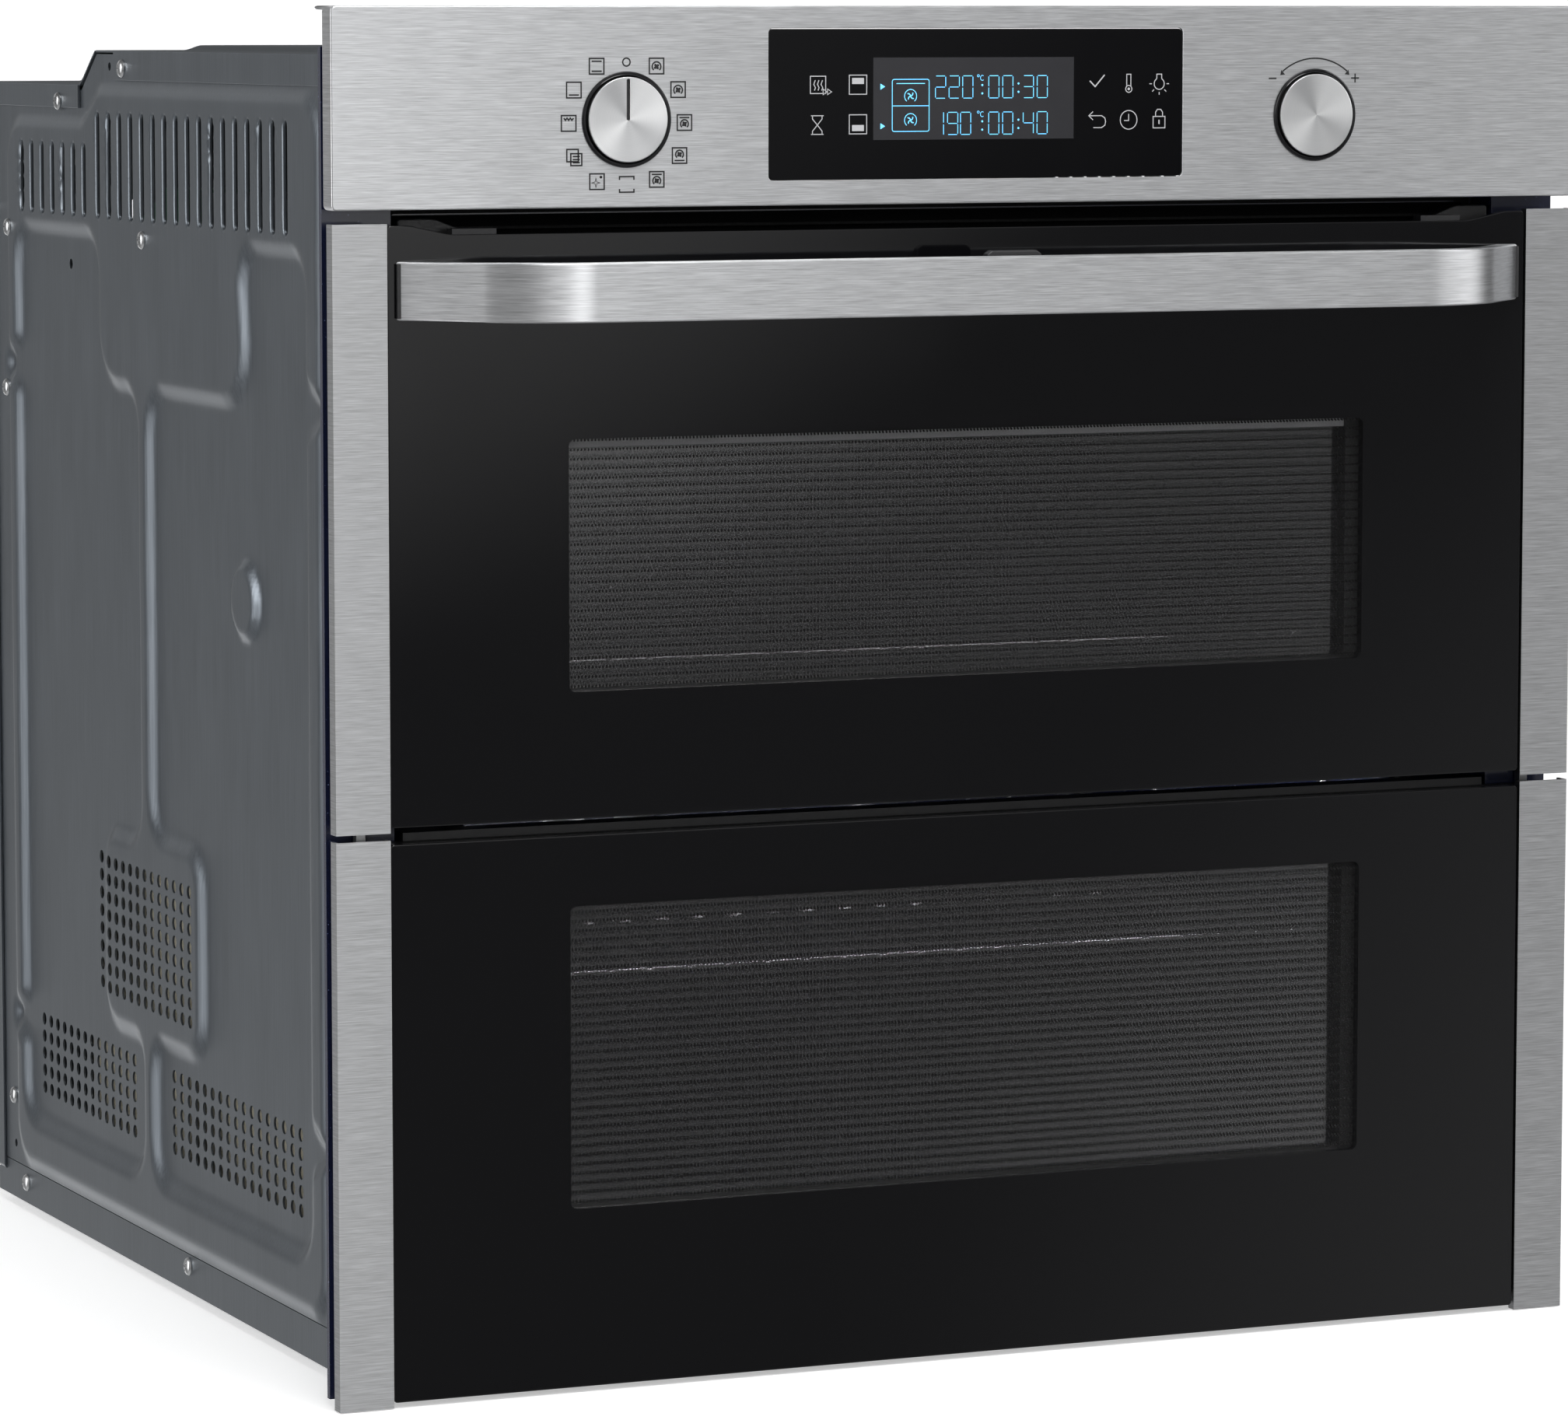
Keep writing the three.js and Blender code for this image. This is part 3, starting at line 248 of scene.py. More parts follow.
def screen_glass():
    """Pane with a half-silvered coating and a fine dark printed mesh."""
    look = Look("screen_glass", Roughness=0.12, IOR=2.4, Specular_IOR_Level=1.0)
    mesh = dotted(look, MESH_PITCH, MESH_PITCH * 1.73, MESH_PITCH * 0.36)
    other = dotted(look, MESH_PITCH, MESH_PITCH * 1.73, MESH_PITCH * 0.36, 0.5)
    both = look.math("MAXIMUM", mesh, other)
    cloud = look.noise((9, 9, 9), detail=2.0)
    tone = look.math("MULTIPLY", look.spread(cloud, 0.75, 1.1, 0.3, 0.7), look.spread(both, 1.0, 0.45))
    look.drive("Base Color", look.colours(tone, (0.0, 0.0, 0.0), (0.022, 0.022, 0.024)))
    look.drive("Alpha", look.spread(both, 0.64, 0.8))
    look.material.surface_render_method = "BLENDED"
    return look.material


def enamel():
    """Dark blue vitreous enamel with small pale specks."""
    look = Look("blue_enamel", Coat_Weight=0.6, Coat_Roughness=0.05, Roughness=0.22)
    cells = look.add("ShaderNodeTexVoronoi", {"Vector": look.places(), "Scale": 620.0}).outputs["Distance"]
    sparse = look.noise((900, 900, 900), detail=1.0)
    near, rare = look.math("LESS_THAN", cells, 0.16), look.math("GREATER_THAN", sparse, 0.62)
    speck = look.math("MULTIPLY", near, rare)
    look.drive("Base Color", look.colours(speck, (0.006, 0.009, 0.032), (0.12, 0.15, 0.24)))
    look.bump(look.noise((160, 160, 160), detail=2.0), 0.15, 0.0001)
    return look.material


def moulded(name, dark, light, roughness, grain=900.0, depth=0.00004):
    """Moulded plastic, rubber or board: slight mottle and a fine grain."""
    look = Look(name)
    look.drive("Base Color", look.colours(look.noise((90, 90, 90), detail=3.0), dark, light))
    low, high = roughness
    look.drive("Roughness", look.spread(look.noise((grain, grain, grain)), low, high, 0.3, 0.7))
    look.bump(look.noise((grain, grain, grain), detail=2.0), 0.4, depth)
    return look.material


def plated(name, dark, light, roughness):
    """Plated or bare metal with light handling marks."""
    look = Look(name, Metallic=1.0)
    marks = look.noise((70, 70, 70), detail=5.0, rough=0.6)
    look.drive("Base Color", look.colours(look.spread(marks, 0, 1, 0.3, 0.7), dark, light))
    low, high = roughness
    look.drive("Roughness", look.spread(marks, low, high, 0.3, 0.7))
    return look.material


def fibre():
    look = Look("mineral_wool", Roughness=0.95, Sheen_Weight=0.3)
    strands = look.noise((260, 900, 260), detail=6.0, rough=0.75)
    shade = look.colours(look.spread(strands, 0, 1, 0.3, 0.7), (0.45, 0.40, 0.27), (0.80, 0.76, 0.62))
    look.drive("Base Color", shade)
    look.bump(strands, 0.8, 0.0015)
    return look.material


def glowing(name, colour, strength):
    """A lit or printed mark, a little uneven."""
    look = Look(name, Base_Color=(*colour, 1), Roughness=0.5, Emission_Color=(*colour, 1))
    look.drive("Emission Strength", look.spread(look.noise((800, 800, 800)), strength * 0.9, strength * 1.1))
    return look.material


STEEL_ACROSS = brushed_steel("stainless_across", 0.74)
# the door strips take a darker copy of the same brushed steel: painted shade, tone 0.58 against 0.74 on the
# panel
STRIP_STEEL_PAINTED_SHADE = brushed_steel("strip_steel_painted_shade", 0.58)
STEEL_HANDLE = brushed_steel("handle_steel", 0.78)
ZINC = zinc_sheet()
BLACK_GLASS = black_glass()
INSERT_GLASS = insert_glass()
# the inner pane's dots, shifted half a row, are painted shadow and reflection of the outer pane's dots
INNER_GLASS_DOT_SHADOWS = window_glass("inner_glass_painted_dot_shadows", 0.78, 0.45, (0.05, 0.052, 0.055))
WINDOW = window_glass("window_glass", 0.9, 0.0, (0.02, 0.02, 0.021))
SCREEN_GLASS = screen_glass()
ENAMEL = enamel()
BLACK_PLASTIC = moulded("black_plastic", (0.010, 0.010, 0.011), (0.018, 0.018, 0.02), (0.38, 0.55))
# near-black, darker than the other plastics: painted shade for the vent trim and the window channel in the
# dark gaps; the display's back tray takes it too
MATT_BLACK_AND_SHADE = moulded("matt_black_painted_shade", (0.002, 0.002, 0.0022), (0.004, 0.004, 0.0045), (0.7, 0.85))
# mid grey, for the bar at the top of the upper window: painted reflection
GREY_PAINTED_REFLECTION = moulded("grey_painted_reflection", (0.10, 0.10, 0.105), (0.13, 0.13, 0.135), (0.5, 0.6))
BEZEL = moulded("bezel_gloss", (0.006, 0.006, 0.007), (0.009, 0.009, 0.01), (0.08, 0.14), 60.0, 0.00001)
RUBBER = moulded("gasket_rubber", (0.02, 0.02, 0.02), (0.035, 0.035, 0.036), (0.7, 0.85), 500.0)
BOARD = moulded("circuit_board", (0.01, 0.09, 0.04), (0.02, 0.16, 0.07), (0.3, 0.45), 400.0)
CHROME = plated("chromed_wire", (0.62, 0.63, 0.65), (0.82, 0.83, 0.84), (0.08, 0.2))
ELEMENT = plated("heating_element", (0.05, 0.045, 0.04), (0.14, 0.125, 0.11), (0.45, 0.65))
MOTOR = plated("motor_steel", (0.34, 0.345, 0.35), (0.50, 0.505, 0.51), (0.3, 0.5))
SCREW = plated("screw_zinc", (0.55, 0.56, 0.57), (0.75, 0.76, 0.77), (0.2, 0.35))
WOOL = fibre()
INK = moulded("printed_ink", (0.008, 0.008, 0.009), (0.014, 0.014, 0.015), (0.55, 0.65))
GREY_MARK = glowing("grey_mark", (0.30, 0.30, 0.31), 0.55)
BLUE_MARK = glowing("blue_mark", (0.12, 0.50, 0.86), 1.1)
SCREEN = moulded("screen", (0.014, 0.014, 0.017), (0.018, 0.018, 0.021), (0.2, 0.25))

KNOB_FACES = {name: turned_steel(f"{name}_knob_face", x, KNOB_Z) for name, x in KNOBS.items()}

SLOT_LOOKS = {  # the looks of each material slot; a CAD node that keeps its mesh takes the first
    "stainless": (STEEL_ACROSS, STRIP_STEEL_PAINTED_SHADE, STEEL_HANDLE),
    "black_glass": (BLACK_GLASS, INSERT_GLASS, WINDOW, SCREEN, GREY_MARK, BLUE_MARK),
    "clear_glass": (INNER_GLASS_DOT_SHADOWS, SCREEN_GLASS),
    "black_plastic": (BLACK_PLASTIC, MATT_BLACK_AND_SHADE, GREY_PAINTED_REFLECTION, BEZEL, INK),
    "zinc_steel": (ZINC,),
    "blue_enamel": (ENAMEL,),
    "chromed_wire": (CHROME,),
    "knob_metal": tuple(KNOB_FACES.values()),
    "heating_element": (ELEMENT,),
    "mineral_wool": (WOOL,),
    "gasket_rubber": (RUBBER,),
    "circuit_board": (BOARD,),
    "motor_steel": (MOTOR, SCREW),
}

# ---------------------------------------------------------------- geometry helpers


def fillet(points, radii, steps=6):
    """Closed outline with its corners rounded by one radius, or by one for each corner."""
    count = len(points)
    if not hasattr(radii, "__len__"):
        radii = [radii] * count
    rounded = []
    for i, radius in enumerate(radii):
        corner = Vector(points[i])
        before = Vector(points[i - 1]) - corner
        after = Vector(points[(i + 1) % count]) - corner
        if radius <= 0:
            rounded.append((corner.x, corner.y))
            continue
        half = before.angle(after) / 2
        reach = min(radius / math.tan(half), 0.49 * before.length, 0.49 * after.length)
        radius = reach * math.tan(half)
        middle = (before.normalized() + after.normalized()).normalized()
        centre = corner + middle * (radius / math.sin(half))
        start = corner + before.normalized() * reach - centre
        end = corner + after.normalized() * reach - centre
        first = math.atan2(start.y, start.x)
        turn = math.atan2(end.y, end.x) - first
        turn = (turn + math.pi) % (2 * math.pi) - math.pi
        for k in range(steps + 1):
            angle = first + turn * k / steps
            rounded.append((centre.x + radius * math.cos(angle), centre.y + radius * math.sin(angle)))
    return rounded


def rectangle(u0, u1, v0, v1, radius=0.0, steps=6):
    corners = [(u0, v0), (u1, v0), (u1, v1), (u0, v1)]
    return fillet(corners, radius, steps)


def circle(u, v, radius, count):
    turn = 2 * math.pi / count
    return [(u + radius * math.cos(i * turn), v + radius * math.sin(i * turn)) for i in range(count)]


def inset(loop, distance):
    """The outline moved to its left by a distance: inwards where it runs counter-clockwise."""
    points = np.array(loop, float)
    edges = np.roll(points, -1, 0) - points
    edges /= np.linalg.norm(edges, axis=1)[:, None]
    after = np.stack([-edges[:, 1], edges[:, 0]], 1)
    before = np.roll(after, 1, 0)
    return points + distance * (before + after) / (1 + (before * after).sum(1))[:, None]


def prism(outline, low, high, holes=(), edge=0.0, hole_edge=0.0, steps=3):
    """(u, v, w) points and faces of an outline extruded from low to high, with rounded edges."""
    loops = [(list(outline), edge)] + [(list(reversed(hole)), hole_edge) for hole in holes]
    points, faces, caps = [], [], ([], [])
    for loop, radius in loops:
        angles = [math.pi / 2 * k / steps for k in range(steps + 1)] if radius else [math.pi / 2]
        near = [(radius * (1 - math.sin(a)), low + radius * (1 - math.cos(a))) for a in angles]
        far = [(move, high - (level - low)) for move, level in reversed(near)]
        rows = []
        for move, level in near + far:
            ring = inset(loop, move) if move else np.array(loop, float)
            rows.append(range(len(points), len(points) + len(loop)))
            points.extend((u, v, level) for u, v in ring)
        size = len(loop)
        for row, above in zip(rows, rows[1:]):
            for i in range(size):
                j = (i + 1) % size
                faces.append((row[i], row[j], above[j], above[i]))
        caps[0].append(rows[0])
        caps[1].append(rows[-1])
    for cap in caps:
        order = [index for row in cap for index in row]
        shapes = [[Vector((points[index][0], points[index][1], 0)) for index in row] for row in cap]
        faces.extend(tuple(order[k] for k in triangle) for triangle in tessellate_polygon(shapes))
    return points, faces


def along_y(shape):
    """Turns (u, v, w) into x = u, z = v, y = w."""
    points, faces = shape
    return [(u, w, v) for u, v, w in points], faces


def along_x(shape):
    points, faces = shape
    return [(w, u, v) for u, v, w in points], faces


def lathe(profile, x, z, steps):
    """Turned about the Y axis through (x, z). The profile is (radius, y) from the axis to the axis."""
    points, faces, rows = [], [], []
    for radius, y in profile:
        count = 1 if radius < 1e-6 else steps
        rows.append(range(len(points), len(points) + count))
        for i in range(count):
            angle = 2 * math.pi * i / steps
            points.append((x + radius * math.cos(angle), y, z + radius * math.sin(angle)))
    for row, after in zip(rows, rows[1:]):
        for i in range(steps):
            j = (i + 1) % steps
            corners = [row[i % len(row)], row[j % len(row)], after[j % len(after)], after[i % len(after)]]
            face = tuple(dict.fromkeys(corners))
            if len(face) > 2:
                faces.append(face)
    return points, faces


def ring(profile, x, z, steps=64):
    """Turned about the Y axis through (x, z), from a closed profile of (radius, y)."""
    points, faces = [], []
    size = len(profile)
    for i in range(steps):
        angle = 2 * math.pi * i / steps
        points.extend((x + r * math.cos(angle), y, z + r * math.sin(angle)) for r, y in profile)
    for i in range(steps):
        j = (i + 1) % steps
        for k in range(size):
            m = (k + 1) % size
            faces.append((i * size + k, i * size + m, j * size + m, j * size + k))
    return points, faces


def bent(points, bend, steps=6):
    """A path of straight runs with rounded bends, in space."""
    corners = [Vector(p) for p in points]
    path = [corners[0]]
    for previous, corner, following in zip(corners, corners[1:], corners[2:]):
        start = corner + (previous - corner).normalized() * bend
        end = corner + (following - corner).normalized() * bend
        for k in range(steps + 1):
            t = k / steps
            path.append((1 - t) ** 2 * start + 2 * t * (1 - t) * corner + t * t * end)
    path.append(corners[-1])
    return path


def tube(path, radius, sides=10):
    """A round rod along a path, with chamfered ends."""
    path = [Vector(p) for p in path]
    first = (path[1] - path[0]).normalized()
    last = (path[-1] - path[-2]).normalized()
    chamfer = radius * 0.35
    stations = [(path[0], first, radius - chamfer), (path[0] + first * chamfer, first, radius)]
    for before, here, after in zip(path, path[1:], path[2:]):
        stations.append((here, (after - before).normalized(), radius))
    stations.append((path[-1] - last * chamfer, last, radius))
    stations.append((path[-1], last, radius - chamfer))
    across = first.orthogonal().normalized()
    points, faces = [], []
    for place, direction, r in stations:
        across = (across - direction * across.dot(direction)).normalized()
        up = direction.cross(across)
        for i in range(sides):
            angle = 2 * math.pi * i / sides
            points.append(tuple(place + across * (r * math.cos(angle)) + up * (r * math.sin(angle))))
    for row in range(len(stations) - 1):
        for i in range(sides):
            j = (i + 1) % sides
            a, b = row * sides, (row + 1) * sides
            faces.append((a + i, a + j, b + j, b + i))
    end = (len(stations) - 1) * sides
    faces.append(tuple(reversed(range(sides))))
    faces.append(tuple(range(end, end + sides)))
    return points, faces


def together(shapes):
    points, faces = [], []
    for more_points, more_faces in shapes:
        start = len(points)
        points.extend(more_points)
        faces.extend(tuple(index + start for index in face) for face in more_faces)
    return points, faces


def mirrored(shape):
    points, faces = shape
    return [(-x, y, z) for x, y, z in points], [tuple(reversed(face)) for face in faces]


def solid(name, shape):
    """A closed object from points in millimetres, its faces turned outwards."""
    points, faces = shape
    mesh = bpy.data.meshes.new(name)
    mesh.from_pydata((np.array(points, float) * MM).tolist(), [], faces)
    work = bmesh.new()
    work.from_mesh(mesh)
    bmesh.ops.recalc_face_normals(work, faces=work.faces)
    work.to_mesh(mesh)
    work.free()
    made = bpy.data.objects.new(name, mesh)
    bpy.context.scene.collection.objects.link(made)
    return made


def build(name, shape, look, body="root", replaces=(), sharp=35.0):
    """A piece of the object, with its look, its moving body and the nodes that it stands for."""
    piece = solid(name, shape)
    piece.data.materials.append(look)
    shade(piece, sharp)
    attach(piece, body)
    if replaces:
        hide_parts(*replaces)
    return piece


def shade(piece, sharp=35.0):
    """Smooth shading with sharp edges, and large faces kept flat."""
    mesh = piece.data
    mesh.polygons.foreach_set("use_smooth", [True] * len(mesh.polygons))
    mesh.set_sharp_from_angle(angle=math.radians(sharp))
    flat = piece.modifiers.new("flat faces", "WEIGHTED_NORMAL")
    flat.keep_sharp = True
    flat.weight = 80


def soften(node, width, segments=2):
    """Rounds the edges of a CAD node that keeps its shape."""
    piece = frame["nodes"][node]
    edge = piece.modifiers.new("edges", "BEVEL")
    edge.width = width * MM
    edge.segments = segments
    edge.limit_method = "ANGLE"
    edge.angle_limit = math.radians(40)
    shade(piece)


# ---------------------------------------------------------------- pressed side panels
RIM = 277.6  # |x| of the panel's flat edge; its pressed field stands proud of that
RAISED_BY = 2.4
SUNK_BY = 3.5
RAISED = fillet(
    [(231.5, 22.2), (231.5, 536.5), (109.7, 536.5), (82.5, 553), (-226, 553), (-226, 22.2)],
    [22, 22, 14, 14, 22, 22],
)
REAR_FIELD = fillet(
    [
        (216, 46), (216, 84), (238, 92), (238, 98), (216, 106), (216, 406), (238, 414), (238, 421),
        (216, 430), (216, 486), (86.5, 486), (86.5, 416), (29.4, 416), (29.4, 203), (86.5, 203),
        (86.5, 112), (29.4, 112), (29.4, 46),
    ],
    [18, 6, 3, 3, 6, 6, 3, 3, 6, 18, 20, 26, 20, 18, 18, 18, 14, 18],
)
FRONT_FIELD = fillet(
    [
        (-205.7, 46), (12.9, 46), (12.9, 113), (-56.7, 113), (-56.7, 208), (12.9, 208), (12.9, 416),
        (-127, 416), (-118.7, 486), (-205.7, 486), (-205.7, 430), (-226, 421), (-226, 414),
        (-205.7, 406), (-205.7, 106), (-226, 98), (-226, 92), (-205.7, 84),
    ],
    [18, 18, 14, 18, 18, 18, 20, 26, 18, 18, 6, 3, 3, 6, 6, 3, 3, 6],
)
BOSS = circle(-119.5, 328, 16.8, 48)
BOSS_BY = 3.3
SLOT_PITCH = 16.65
SLOT_HALF = 2.6
SLOT_LIP = 1.1
SLOT_DEPTH = 0.7
SLOT_Z = 492.2
SLOT_ROWS = [(82.5, 541.4, 17), (204, 526.4, 7)]  # y of the first slot, its top, and how many
VENT_R = 3.1
VENT_FIELDS = [  # first and last y and how many along it, first and last z and how many of those
    (98.0, -43.5, 14, 187.9, 127.9, 8),
    (193.3, 50.5, 14, 96.4, 62.5, 5),
    (-9.4, -185.5, 17, 97.5, 63.7, 5),
]
SINGLE_HOLES = [(136.1, 468.7, 2.5), (69.7, 563, 2.0), (239.7, 27.5, 2.0)]  # y, z and radius
STEP_DOWN = 17.1  # from the top's front level to its rear one
STEP_Y = (89, 113)
COVER_SKIN = 1.4  # the screws of the lid and the back cover sit on this much more sheet
SHEET = 1.0
FINE, COARSE = 2.0, 6.0  # spacing of the points where a sheet is steep and where it is flat


def side_holes():
    """Openings of the side panel as (y, lowest and highest z of its axis, half width, lip width)."""
    holes = []
    for y0, y1, ny, z0, z1, nz in VENT_FIELDS:
        holes += [(y, z, z, VENT_R, 0.0) for y in np.linspace(y0, y1, ny) for z in np.linspace(z0, z1, nz)]
    holes += [(y, z, z, radius, 0.0) for y, z, radius in SINGLE_HOLES]
    for first, top, count in SLOT_ROWS:
        ends = SLOT_Z + SLOT_HALF, top - SLOT_HALF
        holes += [(first - i * SLOT_PITCH, *ends, SLOT_HALF, SLOT_LIP) for i in range(count)]
    return holes


def inside(outline, y, z):
    """Even-odd test of many points against one outline."""
    hit = np.zeros(np.shape(y), bool)
    for (y0, z0), (y1, z1) in zip(outline, outline[1:] + outline[:1]):
        if z0 == z1:
            continue
        crosses = (z0 > z) != (z1 > z)
        hit ^= crosses & (y < (y1 - y0) * (z - z0) / (z1 - z0) + y0)
    return hit


def blurred(field, width):
    """Box blur, which turns a step into a straight ramp as wide as the box."""
    for axis in (0, 1):
        padded = np.pad(field, [(width, width) if a == axis else (0, 0) for a in (0, 1)], mode="edge")
        total = np.cumsum(padded, axis)
        total = np.swapaxes(total, 0, axis)
        total = (total[width:] - total[:-width])[width // 2 : width // 2 + field.shape[axis]] / width
        field = np.swapaxes(total, 0, axis)
    return field


class Pressing:
    """Height of a pressed sheet over two axes, on a 1 mm grid, from outlines that are stamped in it."""

    def __init__(self, corners, stamps):
        low, high = np.min(corners, axis=0) - 10, np.max(corners, axis=0) + 12
        self.low = low
        u, v = (low[axis] + np.arange(int(high[axis] - low[axis])) for axis in (0, 1))
        uu, vv = np.meshgrid(u, v, indexing="ij")
        total = np.zeros(uu.shape)
        for outline, height, ramp in stamps:
            total += height * blurred(inside(outline, uu, vv).astype(float), ramp)
        self.heights = blurred(total, 3)

    def at(self, u, v):
        u = np.clip(np.asarray(u) - self.low[0], 0, self.heights.shape[0] - 2)
        v = np.clip(np.asarray(v) - self.low[1], 0, self.heights.shape[1] - 2)
        i, j = u.astype(int), v.astype(int)
        a, b = u - i, v - j
        h = self.heights
        near = h[i, j] * (1 - a) + h[i + 1, j] * a
        far = h[i, j + 1] * (1 - a) + h[i + 1, j + 1] * a
        return near * (1 - b) + far * b


def beyond(hole, u, v):
    """Distance of points from the edge of one opening."""
    centre, start, end, half, _ = hole
    along = np.maximum(np.maximum(start - v, v - end), 0)
    return np.hypot(u - centre, along) - half


def opening(hole):
    """Outline of an opening, with points every few millimetres along its straight sides."""
    centre, start, end, half, _ = hole
    if start == end:
        return circle(centre, start, half, 12)
    parts = max(1, int((end - start) // 6))
    outline = []
    for side, first, last in ((1, start, end), (-1, end, start)):
        outline += [(centre + side * half, first + (last - first) * k / parts) for k in range(parts)]
        turns = [math.pi * (0 if side > 0 else 1) + math.pi * k / 6 for k in range(6)]
        outline += [(centre + half * math.cos(turn), last + half * math.sin(turn)) for turn in turns]
    return outline


def stepped(corners, step):
    """A closed outline with points along its straight sides."""
    outline = []
    for (a, b), (c, d) in zip(corners, corners[1:] + corners[:1]):
        parts = max(1, int(math.hypot(c - a, d - b) // step))
        outline += [(a + (c - a) * k / parts, b + (d - b) * k / parts) for k in range(parts)]
    return outline


def pressed_sheet(corners, holes, press, lip_depth=SLOT_DEPTH, cutouts=()):
    """A closed sheet as (u, v, height) points and faces, with its openings cut and their lips turned in."""
    flat, loop_of, edges, rings = [], [], [], []
    loops = [stepped(corners, COARSE)] + [opening(hole) for hole in holes] + [list(cut) for cut in cutouts]
    for number, loop in enumerate(loops):
        start = len(flat)
        flat.extend(loop)
        loop_of.extend([number] * len(loop))
        edges.extend((start + i, start + (i + 1) % len(loop)) for i in range(len(loop)))
        if 0 < number <= len(holes):
            lip = holes[number - 1][4]
            for distance in (lip / 2, lip, lip + 1.2) if lip else (1.2,):
                rings.extend(inset(loop, -distance).tolist())
    low, high = np.min(corners, axis=0), np.max(corners, axis=0)
    grids = []
    for step in (FINE, COARSE):
        u, v = (g.ravel() for g in np.meshgrid(np.arange(low[0] + 2, high[0] - 1, step),
                                               np.arange(low[1] + 2, high[1] - 1, step)))
        moves = ((3, 0), (-3, 0), (0, 3), (0, -3))
        steep = sum(abs(press.at(u + a, v + b) - press.at(u, v)) for a, b in moves) > 0.02
        keep = steep if step == FINE else ~steep
        grids.append(np.stack([u[keep], v[keep]], 1))
    grid = np.concatenate(grids)
    clear = inside([tuple(p) for p in inset(corners, 1.5)], grid[:, 0], grid[:, 1])
    for hole in holes:
        clear &= beyond(hole, grid[:, 0], grid[:, 1]) > hole[4] + 2.0
    for cut in cutouts:
        clear &= ~inside([tuple(p) for p in inset(cut, -2.0)], grid[:, 0], grid[:, 1])
    flat.extend(rings)
    flat.extend(grid[clear].tolist())
    loop_of.extend([-1] * (len(flat) - len(loop_of)))

    made = delaunay_2d_cdt([Vector(p) for p in flat], edges, [], 0, 1e-4)
    places = np.array([tuple(p) for p in made[0]])
    loops = np.array([loop_of[origin[0]] if origin else -1 for origin in made[3]])
    triangles = np.array(made[2])
    ids = loops[triangles]
    in_hole = (ids[:, 0] > 0) & (ids[:, 0] == ids[:, 1]) & (ids[:, 1] == ids[:, 2])
    middles = places[triangles].mean(1)
    kept = triangles[~in_hole & inside(corners, middles[:, 0], middles[:, 1])]

    u, v = places[:, 0], places[:, 1]
    height = press.at(u, v)
    for hole in holes:
        if hole[4]:
            lip = np.clip(1 - beyond(hole, u, v) / hole[4], 0, 1)
            height = height - lip_depth * lip * lip * (3 - 2 * lip)
    used = np.unique(kept)
    renumber = np.full(len(places), -1)
    renumber[used] = np.arange(len(used))
    count = len(used)
    kept = renumber[kept].tolist()
    outer = np.stack([u, v, height], 1)[used]
    points = np.concatenate([outer, outer - [0, 0, SHEET]]).tolist()
    faces = [tuple(t) for t in kept] + [tuple(index + count for index in reversed(t)) for t in kept]
    rim = {edge for a, b, c in kept for edge in ((a, b), (b, c), (c, a))}
    faces += [(b, a, a + count, b + count) for a, b in sorted(rim) if (b, a) not in rim]
    return points, faces


SCREW_R = 4.25
SCREW_RISE = 2.2
CROSS_TURN = 0.3
CROSS = {"reach": 2.3, "half": 0.5, "depth": 1.0}


def screw_head(x, y, z, out):
    """A domed head with a cross recess, facing along X by `out`."""
    rings, steps = 9, 32
    points, faces = [(x + out * (SCREW_RISE - CROSS["depth"]), y, z)], []
    for k in range(1, rings + 1):
        r = SCREW_R * k / rings
        level = SCREW_RISE * math.sqrt(max(0.0, 1 - (r / SCREW_R) ** 2 * 0.98)) ** 0.8
        for i in range(steps):
            angle = 2 * math.pi * i / steps
            nearest = min(abs(math.cos(angle)), abs(math.sin(angle))) * r
            depth = CROSS["depth"] if nearest < CROSS["half"] and r < CROSS["reach"] else 0
            turned = angle + CROSS_TURN
            points.append((x + out * (level - depth), y + r * math.cos(turned), z + r * math.sin(turned)))
    for i in range(steps):
        j = (i + 1) % steps
        faces.append((0, 1 + i, 1 + j))
        for k in range(rings - 1):
            a, b = 1 + k * steps, 1 + (k + 1) * steps
            faces.append((a + i, b + i, b + j, a + j))
    rim = 1 + (rings - 1) * steps
    base = len(points)
    points.extend((x - out * 0.05, *points[rim + i][1:]) for i in range(steps))
    for i in range(steps):
        j = (i + 1) % steps
        faces.append((rim + i, base + i, base + j, rim + j))
    faces.append(tuple(range(base, base + steps)))
    return points, faces


SIDE_SCREWS = [
    (226.9, 483.7), (15.6, 483.7), (239.3, 404.5), (241.2, 51.4), (145.6, 546), (46.5, 562.2),
    (221.9, 10.2), (-31.5, 12.2), (266.3, 492.0),
]


def side_panels():
    (_, y0, z0), (_, y1, z1) = SIDE_LOW, SIDE_HIGH
    rear_top = z1 - STEP_DOWN
    corners = [(y0, z0), (y1, z0), (y1, rear_top), (STEP_Y[1], rear_top), (STEP_Y[0], z1), (y0, z1)]
    fields = [(REAR_FIELD, -SUNK_BY, 8), (FRONT_FIELD, -SUNK_BY, 8)]
    press = Pressing(corners, [(RAISED, RAISED_BY, 6), *fields, (BOSS, BOSS_BY, 4)])
    points, faces = pressed_sheet(corners, side_holes(), press)
    sheet = [(-RIM - height, y, z) for y, z, height in points], faces
    heads = []
    for y, z in SIDE_SCREWS:
        flange = COVER_SKIN if z > 540 or y > 260 else 0.0
        height = float(press.at(y, z))
        heads.append(screw_head(-RIM - max(height, 0) - flange, y, z, -1))
    heads = together(heads)
    for side, shape in (("left", sheet), ("right", mirrored(sheet))):
        build(f"{side}_pressed_panel", shape, ZINC, "root", [f"{side}_side_panel"], 60)
    for side, shape in (("left", heads), ("right", mirrored(heads))):
        build(f"{side}_side_screws", shape, SCREW, sharp=30)


